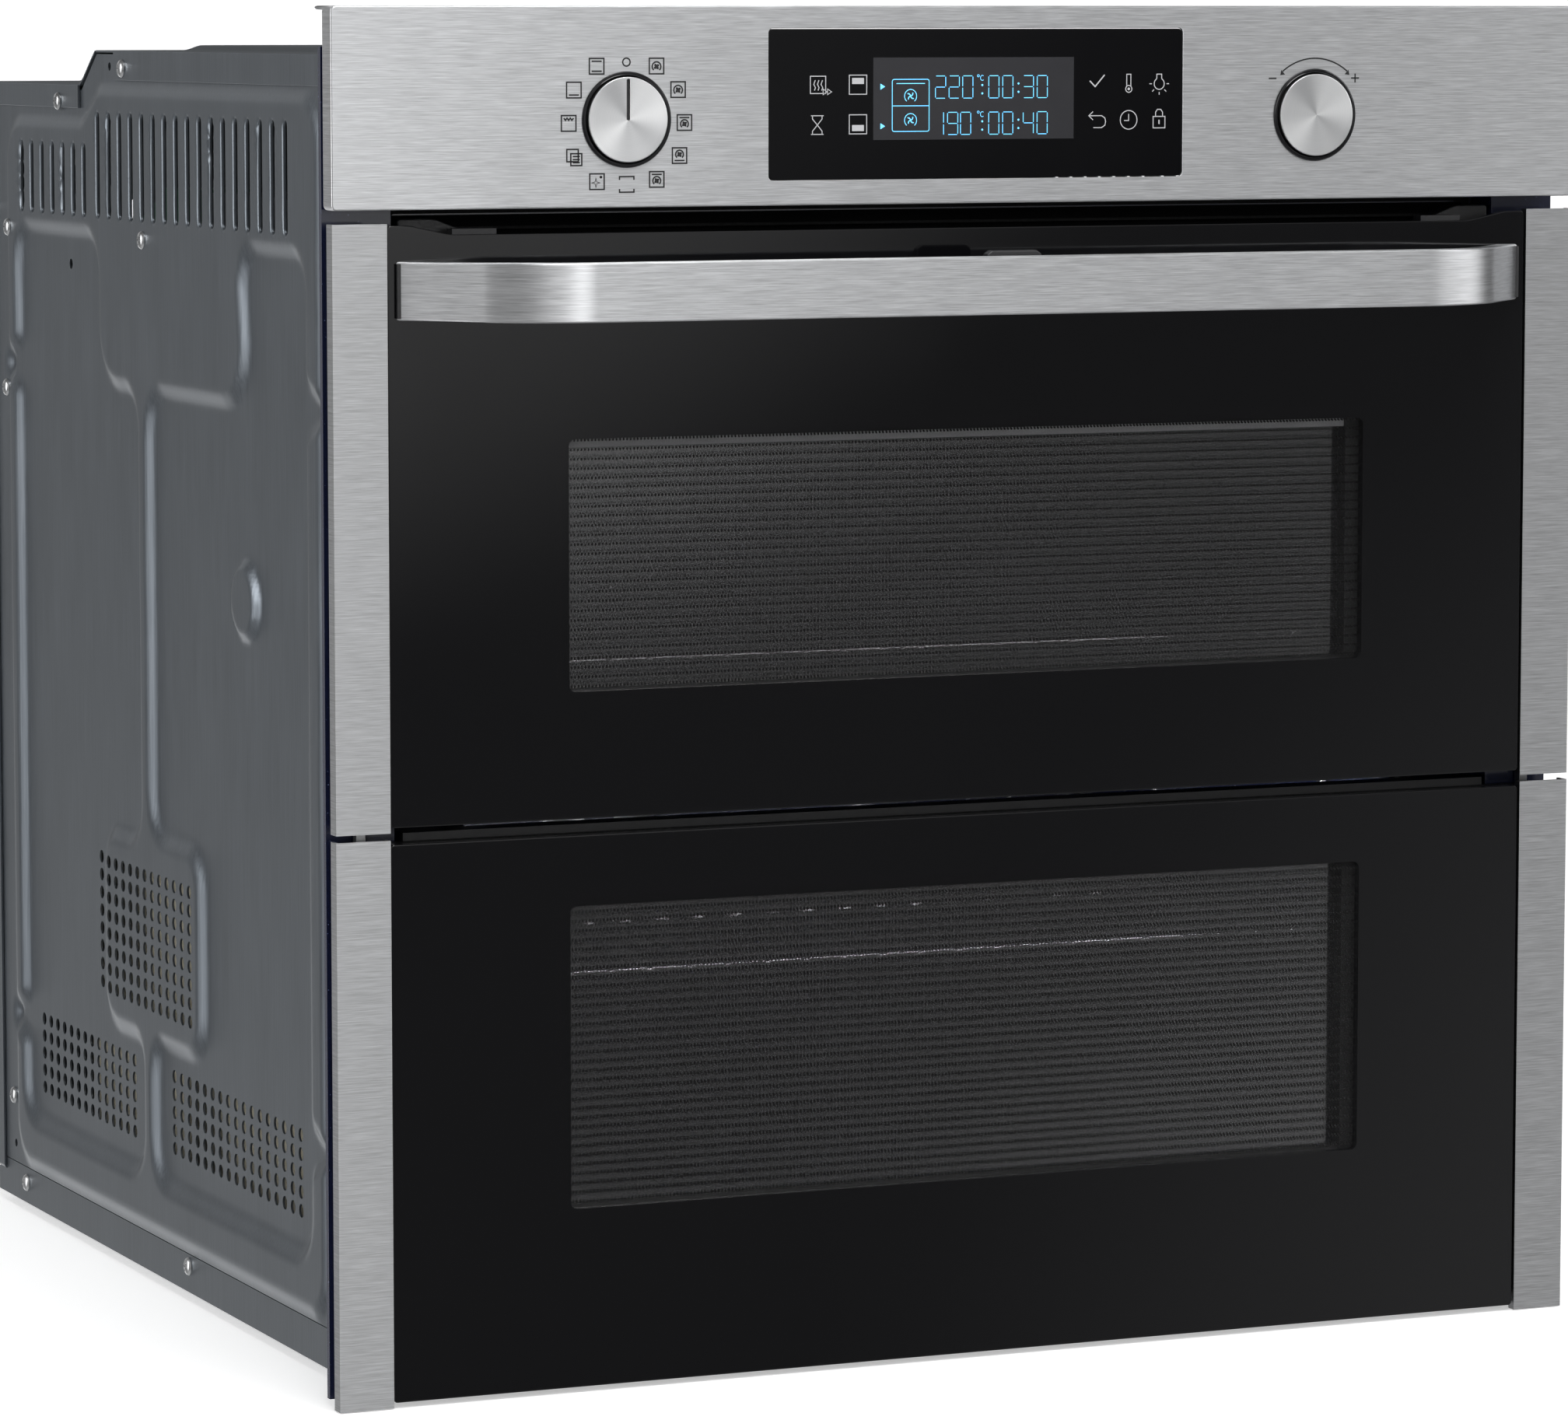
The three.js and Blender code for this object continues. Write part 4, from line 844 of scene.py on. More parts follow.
# ---------------------------------------------------------------- lids and back cover
LID_EDGE = 0.6  # the sheets stop this far inside the outer faces of the skirts
LID_FIELD = 236  # half the width of a lid's pressed field
LID_RISE = {"front": 2.3, "rear": 2.0}
LOUVRE = {"pitch": 50, "count": 9, "half_length": 12, "half_width": 3.0, "lip": 1.8, "y": 218.0}
LID_SCREWS_X = 120


def spread_out(count, pitch):
    """Places on both sides of the middle, evenly apart."""
    return [(i - (count - 1) / 2) * pitch for i in range(count)]


def top_covers():
    """Both lids: the front one with a raised field, the rear one stepped down, with louvres."""
    (front, rear), (front_high, rear_high) = zip(box_mm("top_cover_front"), box_mm("top_cover_rear"))
    half = front_high[0]
    skirt_inner = half - SHEET

    def lid(place, y0, y1, level, stamps, louvres, skirt, skirt_z):
        corners = [(y0, LID_EDGE - half), (y1, LID_EDGE - half), (y1, half - LID_EDGE), (y0, half - LID_EDGE)]
        points, faces = pressed_sheet(corners, louvres, Pressing(corners, stamps), lip_depth=1.0)
        shapes = [([(x, y, level + height) for y, x, height in points], faces)]
        for side in (-1, 1):
            edges = sorted((side * skirt_inner, side * half))
            shapes.append(along_y(prism(rectangle(*edges, *skirt_z, 0.3, 2), *skirt)))
        build(f"{place}_lid", together(shapes), ZINC, "root", [f"top_cover_{place}"], 60)

    y0, y1 = front[1], front_high[1]
    upper = front_high[2] - 2.4
    field = rectangle(y0 + 8, y1 - 5, -LID_FIELD, LID_FIELD, 14)
    lid("front", y0, y1, upper, [(field, LID_RISE["front"], 6)], [], (y0, 60), (front[2], upper - 0.1))

    y0, y1 = rear[1], rear_high[1]
    drop = 16.0
    lower = rear_high[2] - drop
    step = [(y0 - 40, -400), (y0 + 11.8, -400), (y0 + 11.8, 400), (y0 - 40, 400)]
    field = rectangle(y0 + 34, y1 - 8, -LID_FIELD, LID_FIELD, 12)
    louvres = []
    for x in spread_out(LOUVRE["count"], LOUVRE["pitch"]):
        ends = x - LOUVRE["half_length"], x + LOUVRE["half_length"]
        louvres.append((LOUVRE["y"], *ends, LOUVRE["half_width"], LOUVRE["lip"]))
    stamps = [(step, drop, 23), (field, LID_RISE["rear"], 6)]
    lid("rear", y0, y1, lower, stamps, louvres, (y0 + 25, y1), (rear[2], lower - 0.5))

    heads = []
    for x in (-LID_SCREWS_X, LID_SCREWS_X):
        for y, z in ((y0 - 12.0, upper), (y1 - 6.0, lower)):
            points, faces = screw_head(z, x, y, 1)
            heads.append(([(b, c, a) for a, b, c in points], faces))
    build("top_screws", together(heads), SCREW, sharp=30)


def turned_to_back(shape):
    """Turns a shape that faces +X into one that faces +Y: its y becomes -x."""
    points, faces = shape
    return [(-y, x, z) for x, y, z in points], faces


BACK_FIELD = fillet(
    [(-238, 42), (238, 42), (238, 478), (165, 478), (165, 520), (-238, 520)], [20, 20, 20, 14, 14, 20])
BACK_RIBS = {"pitch": 80, "count": 5, "half": 9, "low": 120, "high": 440, "depth": 2.6}
BACK_SLOTS = {"first": -200, "pitch": 40, "count": 9, "rows": (60, 470), "half": 3.0, "length": 26}
BACK_SLOT_LIP = 1.8
TERMINAL = [(179, 491.5), (251, 491.5), (251, 541), (179, 541)]
BACK_RIM = 2.4  # the field stands this far proud of the cover's rim


def back_panel():
    """The rear cover: a pressed field with upright ribs, louvre slots, a folded edge and screws."""
    (x0, y0, z0), (x1, y1, z1) = box_mm("back_cover")
    face = y1 - BACK_RIM
    fold = 1.2
    corners = [(x0 + fold, z0 + fold), (x1 - fold, z0 + fold), (x1 - fold, z1 - fold), (x0 + fold, z1 - fold)]
    stamps = [(BACK_FIELD, 2.2, 6)]
    rib, slot = BACK_RIBS, BACK_SLOTS
    for x in spread_out(rib["count"], rib["pitch"]):
        outline = rectangle(x - rib["half"], x + rib["half"], rib["low"], rib["high"], 8.9)
        stamps.append((outline, -rib["depth"], 5))
    holes = []
    for z in slot["rows"]:
        ends = z + slot["half"], z + slot["length"] - slot["half"]
        places = [slot["first"] + slot["pitch"] * i for i in range(slot["count"])]
        holes += [(x, *ends, slot["half"], BACK_SLOT_LIP) for x in places]
    press = Pressing(corners, stamps)
    cutouts = [stepped(TERMINAL, COARSE)]
    points, faces = pressed_sheet(corners, holes, press, lip_depth=1.2, cutouts=cutouts)
    sheet = [(x, face + height, z) for x, z, height in points], [tuple(reversed(f)) for f in faces]
    inner = rectangle(x0 + SHEET, x1 - SHEET, z0 + SHEET, z1 - SHEET, 1.2, 3)
    skirt = along_y(prism(rectangle(x0, x1, z0, z1, 2.0, 4), y0, face, [inner]))
    build("back_pressed_cover", together([sheet, skirt]), ZINC, "root", ["back_cover"], 60)
    places = [(x, z) for z in (27, 537) for x in (-262, -130, 0, 130)] + [(262, 27), (262, 470)]
    places += [(x, z) for x in (-262, 262) for z in (200, 360)]
    heads = [turned_to_back(screw_head(face + float(press.at(x, z)), -x, z, 1)) for x, z in places]
    build("back_screws", together(heads), SCREW, sharp=30)


# ---------------------------------------------------------------- control panel and display
PANEL_SKIN = 1.2
PANEL_CORNER = 1.6
DISPLAY = (DISPLAY_LOW[0] - 0.3, DISPLAY_HIGH[0] + 0.3, DISPLAY_LOW[2] - 0.3, DISPLAY_HIGH[2] + 0.3)
KNOB_HOLE_R = 19.9
SIDE_RETURN = 10.5  # depth of the returns at the sides and underneath
HOLE_LIP = 0.35
PRINT = 0.05  # thickness of printed marks
PRINT_GAP = 0.02  # between them and the face


def control_panel():
    """A shallow tray: a flat face with rounded edges, and returns that run back round the body."""
    x0, x1, z0, z1 = -HALF_W, HALF_W, PANEL_LOW[2], PANEL_HIGH[2]
    outer = rectangle(x0, x1, z0, z1, 2.2, 4)
    inner = inset(outer, PANEL_SKIN).tolist()
    openings = [list(reversed(rectangle(*DISPLAY, 2.0, 6)))]
    openings += [list(reversed(circle(x, KNOB_Z, KNOB_HOLE_R, 72))) for x in (-KNOB_X, KNOB_X)]

    def back_of(z):
        """How far back the returns reach: deepest along the top."""
        return PANEL_HIGH[1] if z > z1 - 1.3 else Y_FACE + SIDE_RETURN

    points, faces = [], []

    def row(loop, level):
        start = len(points)
        points.extend((x, level if np.isscalar(level) else level[i], z) for i, (x, z) in enumerate(loop))
        return range(start, len(points))

    def wall(first, second):
        size = len(first)
        for i in range(size):
            j = (i + 1) % size
            faces.append((first[i], first[j], second[j], second[i]))

    def cap(rows, loops):
        shapes = [[Vector((u, v, 0)) for u, v in loop] for loop in loops]
        order = [index for r in rows for index in r]
        faces.extend(tuple(order[k] for k in t) for t in tessellate_polygon(shapes))

    radius = PANEL_CORNER / 2
    rows = []
    for k in range(5):
        angle = math.pi / 2 * k / 4
        eased = inset(outer, radius * (1 - math.sin(angle)))
        rows.append(row(eased, Y_FACE + radius * (1 - math.cos(angle))))
    rows.append(row(outer, [back_of(z) for _, z in outer]))
    rows.append(row(inner, [back_of(z) for _, z in outer]))
    rows.append(row(inner, Y_FACE + PANEL_SKIN))
    for first, second in zip(rows, rows[1:]):
        wall(first, second)
    front_rows, back_rows = [rows[0]], [rows[-1]]
    front_loops, back_loops = [inset(outer, radius)], [inner]
    for hole in openings:
        eased = inset(hole, HOLE_LIP).tolist()
        steps = [row(eased, Y_FACE), row(inset(hole, HOLE_LIP * 0.3), Y_FACE + HOLE_LIP * 0.3)]
        steps += [row(hole, Y_FACE + HOLE_LIP), row(hole, Y_FACE + PANEL_SKIN)]
        for first, second in zip(steps, steps[1:]):
            wall(first, second)
        front_rows.append(steps[0])
        back_rows.append(steps[-1])
        front_loops.append(eased)
        back_loops.append(hole)
    cap(front_rows, front_loops)
    cap(back_rows, back_loops)
    build("control_panel_face", (points, faces), STEEL_ACROSS, "root", ["control_panel"])


def ribbon(path, width, closed):
    """Outline of a flat line of one width, or two outlines for a closed one."""
    points = [Vector(p) for p in path]
    half = width / 2
    if closed:
        loop = [tuple(p) for p in points]
        area = sum(a[0] * b[1] - b[0] * a[1] for a, b in zip(loop, loop[1:] + loop[:1]))
        if area < 0:
            loop.reverse()
        return inset(loop, -half).tolist(), [inset(loop, half).tolist()]
    left, right = [], []
    for i, point in enumerate(points):
        before = (point - points[i - 1]).normalized() if i else (points[1] - point).normalized()
        after = (points[i + 1] - point).normalized() if i < len(points) - 1 else before
        normal = Vector((-before.y - after.y, before.x + after.x))
        normal /= max(0.3, 1 + before.dot(after))
        left.append(tuple(point + normal * half))
        right.append(tuple(point - normal * half))
    return right + left[::-1], []


class Marks:
    """Line drawings printed on one upright plane, each one round the point that `at` was given last."""

    def __init__(self, y, width):
        self.y, self.width, self.shapes, self.middle = y, width, [], (0.0, 0.0)

    def at(self, x, z):
        self.middle = x, z
        return self

    def line(self, *path, closed=False, width=None):
        self.fill(*ribbon(path, width or self.width, closed))

    def fill(self, outline, holes=()):
        x0, z0 = self.middle
        outline, *holes = [[(x0 + x, z0 + z) for x, z in loop] for loop in (outline, *holes)]
        self.shapes.append(along_y(prism(outline, self.y - PRINT, self.y, holes)))

    def box(self, w, h, x=0.0, z=0.0):
        self.line(*rectangle(x - w / 2, x + w / 2, z - h / 2, z + h / 2), closed=True)

    def arc(self, radius, first, last, steps=12, z=0.0):
        turns = [math.radians(first + (last - first) * k / steps) for k in range(steps + 1)]
        self.line(*[(radius * math.cos(t), z + radius * math.sin(t)) for t in turns])

    def ring(self, radius):
        self.line(*circle(0, 0, radius, 24), closed=True)

    def disc(self, radius, z=0.0):
        self.fill(circle(0, z, radius, 12))

    def fan(self, radius, z=0.0):
        """Four curved blades under an open arch."""
        self.arc(radius, -50, 230, z=z)
        for k in range(4):
            turn = math.pi / 2 * k
            blade = []
            for t in (0.15, 0.4, 0.62):
                angle = turn + 1.5 * t
                blade.append((radius * t * math.cos(angle), z + radius * t * math.sin(angle)))
            self.line(*blade, width=self.width * 1.5)
        self.disc(radius * 0.14, z)

    def made(self, name, look):
        build(name, together(self.shapes), look)


ICON_BOX = 6.6
ICON_HALF = ICON_BOX / 2
BAR = {"half": ICON_HALF - 1, "height": ICON_HALF - 1.2}  # the line that stands for a heating element
ICON_LINE = 0.64


def heating_bar(marks, side):
    marks.line((-BAR["half"], side * BAR["height"]), (BAR["half"], side * BAR["height"]))


def framed_fan(marks, bar_side=0, radius=2.0, z=-0.2):
    marks.box(ICON_BOX, ICON_BOX)
    if bar_side:
        heating_bar(marks, bar_side)
    marks.fan(radius, z)


def framed_bars(marks, *sides):
    marks.box(ICON_BOX, ICON_BOX)
    for side in sides:
        heating_bar(marks, side)


def brackets(marks):
    """The open frame of the automatic mode."""
    for side in (-1, 1):
        ends = side * 1.9, side * ICON_HALF
        marks.line(*zip((-ICON_HALF, -ICON_HALF, ICON_HALF, ICON_HALF), ends + ends[::-1]))


def twinkle(marks):
    """A four-pointed star and a small plus."""
    marks.box(ICON_BOX, ICON_BOX)
    star = []
    for k in range(8):
        reach = 1.9 if k % 2 == 0 else 0.55
        star.append((-0.5 + reach * math.cos(math.pi / 4 * k), -0.5 + reach * math.sin(math.pi / 4 * k)))
    marks.line(*star, closed=True, width=0.25)
    marks.line((1.2, 1.9), (2.4, 1.9))
    marks.line((1.8, 1.3), (1.8, 2.5))


def pages(marks):
    """Two sheets, the front one with three lines."""
    marks.box(ICON_BOX - 1.4, ICON_BOX - 1.4, -0.7, 0.7)
    marks.box(ICON_BOX - 1.6, ICON_BOX - 1.6, 1.0, -1.0)
    for k in (-1, 0, 1):
        marks.line((-0.6, -1.0 + 1.3 * k), (2.6, -1.0 + 1.3 * k))


def grill(marks):
    marks.box(ICON_BOX, ICON_BOX)
    marks.line(*[(-2.2 + 0.73 * k, ICON_HALF - (1.1 if k % 2 == 0 else 2.0)) for k in range(7)])


MODES = [  # place from the dial's middle, clockwise from the top, and the drawing
    ((13.8, 24), framed_fan, ()),
    ((23.7, 14), framed_fan, ()),
    ((26.6, 0), framed_fan, (1, 1.8, -0.6)),
    ((24.3, -14), framed_fan, (-1, 1.8, 0.5)),
    ((13.8, -24), framed_fan, (1, 1.8, -0.6)),
    ((0, -26), brackets, ()),
    ((-13.6, -24.7), twinkle, ()),
    ((-24, -14.3), pages, ()),
    ((-26.4, 0), grill, ()),
    ((-24, 14), framed_bars, (-1,)),
    ((-13.6, 24), framed_bars, (-1, 1)),
]


def mode_icons():
    """The twelve marks round the mode knob: off, then the heating modes."""
    marks = Marks(Y_FACE - PRINT_GAP, ICON_LINE)
    cx, cz = -KNOB_X, KNOB_Z - 1.4
    marks.at(cx, cz + 25.7).ring(1.7)
    for (dx, dz), draw, settings in MODES:
        draw(marks.at(cx + dx, cz + dz), *settings)
    marks.made("mode_icons", INK)


def plus(marks, x, z, half, upright=True):
    marks.line((x - half, z), (x + half, z))
    if upright:
        marks.line((x, z - half), (x, z + half))


def value_marks():
    """The arc with two arrowheads, minus and plus over the value knob."""
    marks = Marks(Y_FACE - PRINT_GAP, ICON_LINE).at(KNOB_X, KNOB_Z - 0.6)
    marks.arc(25.6, 51, 129, 24)
    for side in (-1, 1):
        head = [(side * 17.3, 18.2), (side * 14.9, 18.5), (side * 16.8, 20.5)]
        marks.fill(head[::side])
    plus(marks, -21.1, 16.8, 1.9, upright=False)
    plus(marks, 20.2, 16.8, 2.0)
    marks.made("value_marks", INK)


SEGMENTS = {  # lit segments of each digit, clockwise from the top, then the middle
    "0": "abcdef", "1": "bc", "2": "abged", "3": "abgcd", "4": "fgbc", "9": "abcdfg",
}


def digits(marks, text, x, z, width, height, gap=1.3):
    """Seven-segment figures from x to the right, standing on z."""
    top, middle, low = z + height, z + height / 2, z
    for figure in text:
        left, right = x, x + width
        ends = {
            "a": ((left, top), (right, top)), "b": ((right, top), (right, middle)),
            "c": ((right, middle), (right, low)), "d": ((right, low), (left, low)),
            "e": ((left, low), (left, middle)), "f": ((left, middle), (left, top)),
            "g": ((left, middle), (right, middle)),
        }
        for segment in SEGMENTS[figure]:
            (x0, z0), (x1, z1) = ends[segment]
            dx, dz = (x1 - x0) * 0.07, (z1 - z0) * 0.07
            marks.line((x0 + dx, z0 + dz), (x1 - dx, z1 - dz))
        x += width + gap


def heat_icon(marks):
    """A framed pan of rising heat with a fast-forward sign."""
    marks.box(7.2, 7.4)
    for x in (-1.7, 0, 1.7):
        marks.line((x, -2.4), (x + 0.5, -1.2), (x - 0.3, 0.2), (x + 0.4, 2.0))
    for x in (2.4, 4.5):
        marks.line((x, -4.2), (x + 1.9, -3.0), (x, -1.8), closed=True, width=0.3)


def hourglass(marks):
    for z in (4, -4):
        marks.line((-3.0, z), (2.9, z))
    for x in (-2.3, 2.2):
        marks.line((x, 4), (x, 2.6), (0, 0), (x, -2.6), (x, -4))


def zone(marks, side):
    """A frame with its upper or lower half filled in."""
    marks.box(8.2, 8.2)
    marks.fill(rectangle(-2.8, 2.8, *sorted((side * 0.3, side * 2.9))))


def tick(marks):
    marks.line((-3.6, 0), (-1.0, -2.5), (3.6, 2.6), width=0.55)


def thermometer(marks):
    marks.line((-1, 1.2), (-1, 6.4), (1, 6.4), (1, 1.2))
    marks.ring(1.5)
    marks.disc(0.6)


def bulb(marks):
    marks.arc(2.5, 120, 420)
    marks.line((-1.2, 2.2), (-1.2, 4.2), (1.2, 4.2), (1.2, 2.2))
    for k in range(5):
        angle = math.radians(-45 * k)
        across, up = math.cos(angle), math.sin(angle)
        marks.line((3.6 * across, 3.6 * up), (4.8 * across, 4.8 * up))


def back_arrow(marks):
    marks.line((-2.0, 1.8), (-4.0, 0), (-2.0, -1.8))
    marks.line((-3.8, 0), (2.2, 0), (3.8, -1.0), (4.2, -2.6), (3.8, -4.2), (2.2, -5.2), (-1.8, -5.2))


def clock(marks):
    marks.ring(4.1)
    marks.line((0, 2.6), (0, -0.3), (-2.2, -0.3))


def padlock(marks):
    marks.box(5.8, 5.0)
    marks.line((-1.7, 2.5), (-1.7, 4.4), (-0.8, 5.6), (0.8, 5.6), (1.7, 4.4), (1.7, 2.5))
    marks.line((0, 1.0), (0, -0.8), width=0.6)


TOUCH_KEYS = [  # place on the glass, drawing and its settings
    ((-76, 557.2), heat_icon, ()),
    ((-76.3, 540), hourglass, ()),
    ((-57.2, 557.2), zone, (1,)),
    ((-57.2, 540.2), zone, (-1,)),
    ((57.4, 558.4), tick, ()),
    ((72.8, 554.8), thermometer, ()),
    ((87.7, 557.0), bulb, ()),
    ((57.4, 543.2), back_arrow, ()),
    ((72.8, 541.3), clock, ()),
    ((87.7, 540.2), padlock, ()),
]
FIGURE = {"width": 4.9, "height": 9.6}


def readout(marks, z, heat, minutes):
    """One lit line: a temperature, a degree sign, and the time left."""
    width, height = FIGURE["width"], FIGURE["height"]
    if heat[0] == "1":
        x = -16.6
        marks.line((x, z), (x, z + height * 0.46))
        marks.line((x, z + height * 0.54), (x, z + height))
        digits(marks, heat[1:], x + 1.9, z, width, height)
    else:
        digits(marks, heat, -20.5, z, width, height, 1.6)
    marks.line(*circle(0.0, z + height, 0.5, 10), closed=True, width=0.2)
    turns = [math.radians(50 + 26 * k) for k in range(11)]
    curl = [(1.9 + 0.9 * math.cos(a), z + height - 0.9 + 1.1 * math.sin(a)) for a in turns]
    marks.line(*curl, width=0.22)
    for dz in (2.6, 6.2):
        marks.fill(circle(1.9, z + dz - 0.6, 0.45, 12))
        marks.fill(circle(19.3, z + dz, 0.45, 12))
    digits(marks, "00", 5.0, z, width, height, 1.8)
    digits(marks, minutes, 21.6, z, width, height, 1.8)


def display():
    """The glass, the screen behind its printed keys, and what the screen shows."""
    (x0, y, z0), (x1, back, z1) = DISPLAY_LOW, DISPLAY_HIGH
    pane = prism(rectangle(x0, x1, z0, z1, 1.8), y, back, edge=0.3)
    build("display_pane", along_y(pane), INSERT_GLASS, "root", ["display_glass"])
    screen = Marks(y - 0.01, 0.4)
    screen.fill(rectangle(-50, 46, 533.4, 568.8))
    screen.made("display_screen", SCREEN)
    grey = Marks(y - 0.01, 0.38)
    for (x, z), draw, settings in TOUCH_KEYS:
        draw(grey.at(x, z), *settings)
    grey.made("display_touch_marks", GREY_MARK)

    blue = Marks(y - 0.03, 0.3)
    for z in (556.3, 539.3):
        blue.fill([(-46.6, z - 1.3), (-44.4, z), (-46.6, z + 1.3)])
    blue.line(*rectangle(-41, -23.5, 537, 559.4, 0.8, 2), closed=True)
    blue.line((-41, 548), (-23.5, 548))
    blue.line((-39, 557.6), (-25.5, 557.6))
    for z in (552.2, 541.8):
        blue.at(-32.3, z).fan(2.9)
    blue.at(0, 0)
    readout(blue, 551.2, "220", "30")
    readout(blue, 535.5, "190", "40")
    blue.made("display_lit_marks", BLUE_MARK)


# ---------------------------------------------------------------- knobs
KNOB_FRONT, KNOB_BACK = KNOB_LOW[1], -283.0
KNOB_DISH, KNOB_BEVEL = 0.18, 0.4
KNOB_CLEARANCE = 0.05
STEM = {"radius": 3.0, "end": -256.0, "chamfer": 0.5}
BEZEL_SECTION = [  # radius, and how far behind the panel's face
    (18.75, 13.5), (18.75, -0.2), (18.85, -0.62), (19.05, -0.75), (19.3, -0.55), (19.5, -0.55),
    (19.75, -0.85), (20.15, -0.75), (20.4, -0.32), (19.5, -0.32), (19.5, 13.5),
]


def knob(name, x):
    """A turned knob on its stem, in a bezel ring that is fixed to the panel."""
    radius = KNOB_R - KNOB_CLEARANCE
    flat_r = radius - KNOB_BEVEL
    profile = [(0.0, KNOB_FRONT + KNOB_DISH)]
    for k in range(1, 8):
        profile.append((flat_r * k / 7, KNOB_FRONT + KNOB_DISH * (1 - (k / 7) ** 2)))
    for k in range(1, 5):
        angle = math.pi / 2 * k / 4
        out, behind = KNOB_BEVEL * math.sin(angle), KNOB_BEVEL * (1 - math.cos(angle))
        profile.append((flat_r + out, KNOB_FRONT + behind))
    stem, end = STEM["radius"], STEM["end"]
    profile += [(radius, KNOB_BACK), (stem, KNOB_BACK)]
    profile += [(stem, end - STEM["chamfer"]), (stem - 0.4, end), (0.0, end)]
    body = f"{name}_knob"
    cap = build(f"{name}_knob_cap", lathe(profile, x, KNOB_Z, 96), KNOB_FACES[name], body, [body])
    if name == "mode":
        pointer(cap, x)
    section = [(r, Y_FACE + behind) for r, behind in BEZEL_SECTION]
    bezel = ring(section, x, KNOB_Z, 96)
    build(f"{name}_bezel_ring", bezel, BEZEL, "root", [f"{name}_knob_bezel"])


def pointer(cap, x):
    """A groove from the knob's middle to its rim, with a black inlay on its floor."""
    rim = KNOB_Z + KNOB_R
    groove = prism(rectangle(x - 0.75, x + 0.75, KNOB_Z - 0.3, rim - 0.9, 0.5, 3), KNOB_FRONT - 2,
                   KNOB_FRONT + 1.15, edge=0.25)
    carve(cap, solid("groove", along_y(groove)))
    inlay = prism(rectangle(x - 0.55, x + 0.55, KNOB_Z - 0.1, rim - 1.1, 0.4, 3), KNOB_FRONT + 0.75,
                  KNOB_FRONT + 1.1)
    build("mode_knob_pointer", along_y(inlay), BLACK_PLASTIC, "mode_knob")


def carve(piece, cutter):
    """Cuts one closed mesh out of another and removes the cutter."""
    step = piece.modifiers.new("carve", "BOOLEAN")
    step.object = cutter
    step.solver = "EXACT"
    piece.modifiers.move(len(piece.modifiers) - 1, 0)
    graph = bpy.context.evaluated_depsgraph_get()
    flat = piece.modifiers["flat faces"]
    flat.show_viewport = False
    graph.update()
    mesh = bpy.data.meshes.new_from_object(piece.evaluated_get(graph))
    flat.show_viewport = True
    piece.modifiers.remove(step)
    piece.data = mesh
    bpy.data.objects.remove(cutter)
    mesh.set_sharp_from_angle(angle=math.radians(35))


# ---------------------------------------------------------------- doors
WINDOWS = {"upper": (-191.2, 191.2, 299.6, 407.7), "lower": (-191.2, 191.2, 76.0, 207.4)}
WINDOW_CORNER = 3.0
SCREEN_Y = (-281.4, -280.6)  # the coated pane between the outer and the inner one
CHANNEL_Y = (-287.9, -277.2)
CHANNEL_OVER, CHANNEL_SHADE_STRIP = 0.3, 6.4  # its opening passes the window, but stops short of it at the right, where the matt black strip is painted shade for the unlit cavity
# a grey bar along the top of the upper window: painted reflection, the lighter band the glass shows there
WINDOW_REFLECTION_BAR = {"height": 3.6, "y": (-287.0, -285.6)}
GLASS_DIP = {"depth": 4.0, "outer": 263, "inner": 244, "bend": 22}  # the upper glass is cut down in between
TRIM = {"x": 262, "low": 489.8, "end_top": 501.5, "top": 494.0, "y": (-276.9, -265.2), "bend": 14}
TRIM_SLOPE_X = (226, 246)


def glass_pane(door, outline):
    """The outer glass, a black border round a dotted window, and the coated pane behind it."""
    low, high = UPPER_GLASS if door == "upper" else LOWER_GLASS
    x0, x1, z0, z1 = WINDOWS[door]
    window = rectangle(x0, x1, z0, z1, WINDOW_CORNER)
    border = prism(outline, low[1], high[1], [window], edge=0.5)
    body = f"{door}_door"
    build(f"{door}_glass_border", along_y(border), BLACK_GLASS, body, [f"{door}_outer_glass"])
    pane = prism(window, low[1], high[1])
    build(f"{door}_glass_window", along_y(pane), WINDOW, body, sharp=20)
    rim = rectangle(x0 - 4.5, x1 + 4.5, z0 - 3.8, z1 + 3.8, WINDOW_CORNER)
    over = CHANNEL_OVER
    # the opening stops short at the right, leaving a black strip that is painted shade for the unlit cavity
    # behind
    clear = rectangle(x0 - over, x1 - CHANNEL_SHADE_STRIP, z0 - over, z1 + over, WINDOW_CORNER)
    channel = prism(rim, *CHANNEL_Y, [clear])
    build(f"{door}_window_channel", along_y(channel), MATT_BLACK_AND_SHADE, body)
    edge, right = over - 0.1, x1 - CHANNEL_SHADE_STRIP - 0.1
    screen = prism(rectangle(x0 - edge, right, z0 - edge, z1 + edge, WINDOW_CORNER), *SCREEN_Y)
    build(f"{door}_screen_pane", along_y(screen), SCREEN_GLASS, body, sharp=20)


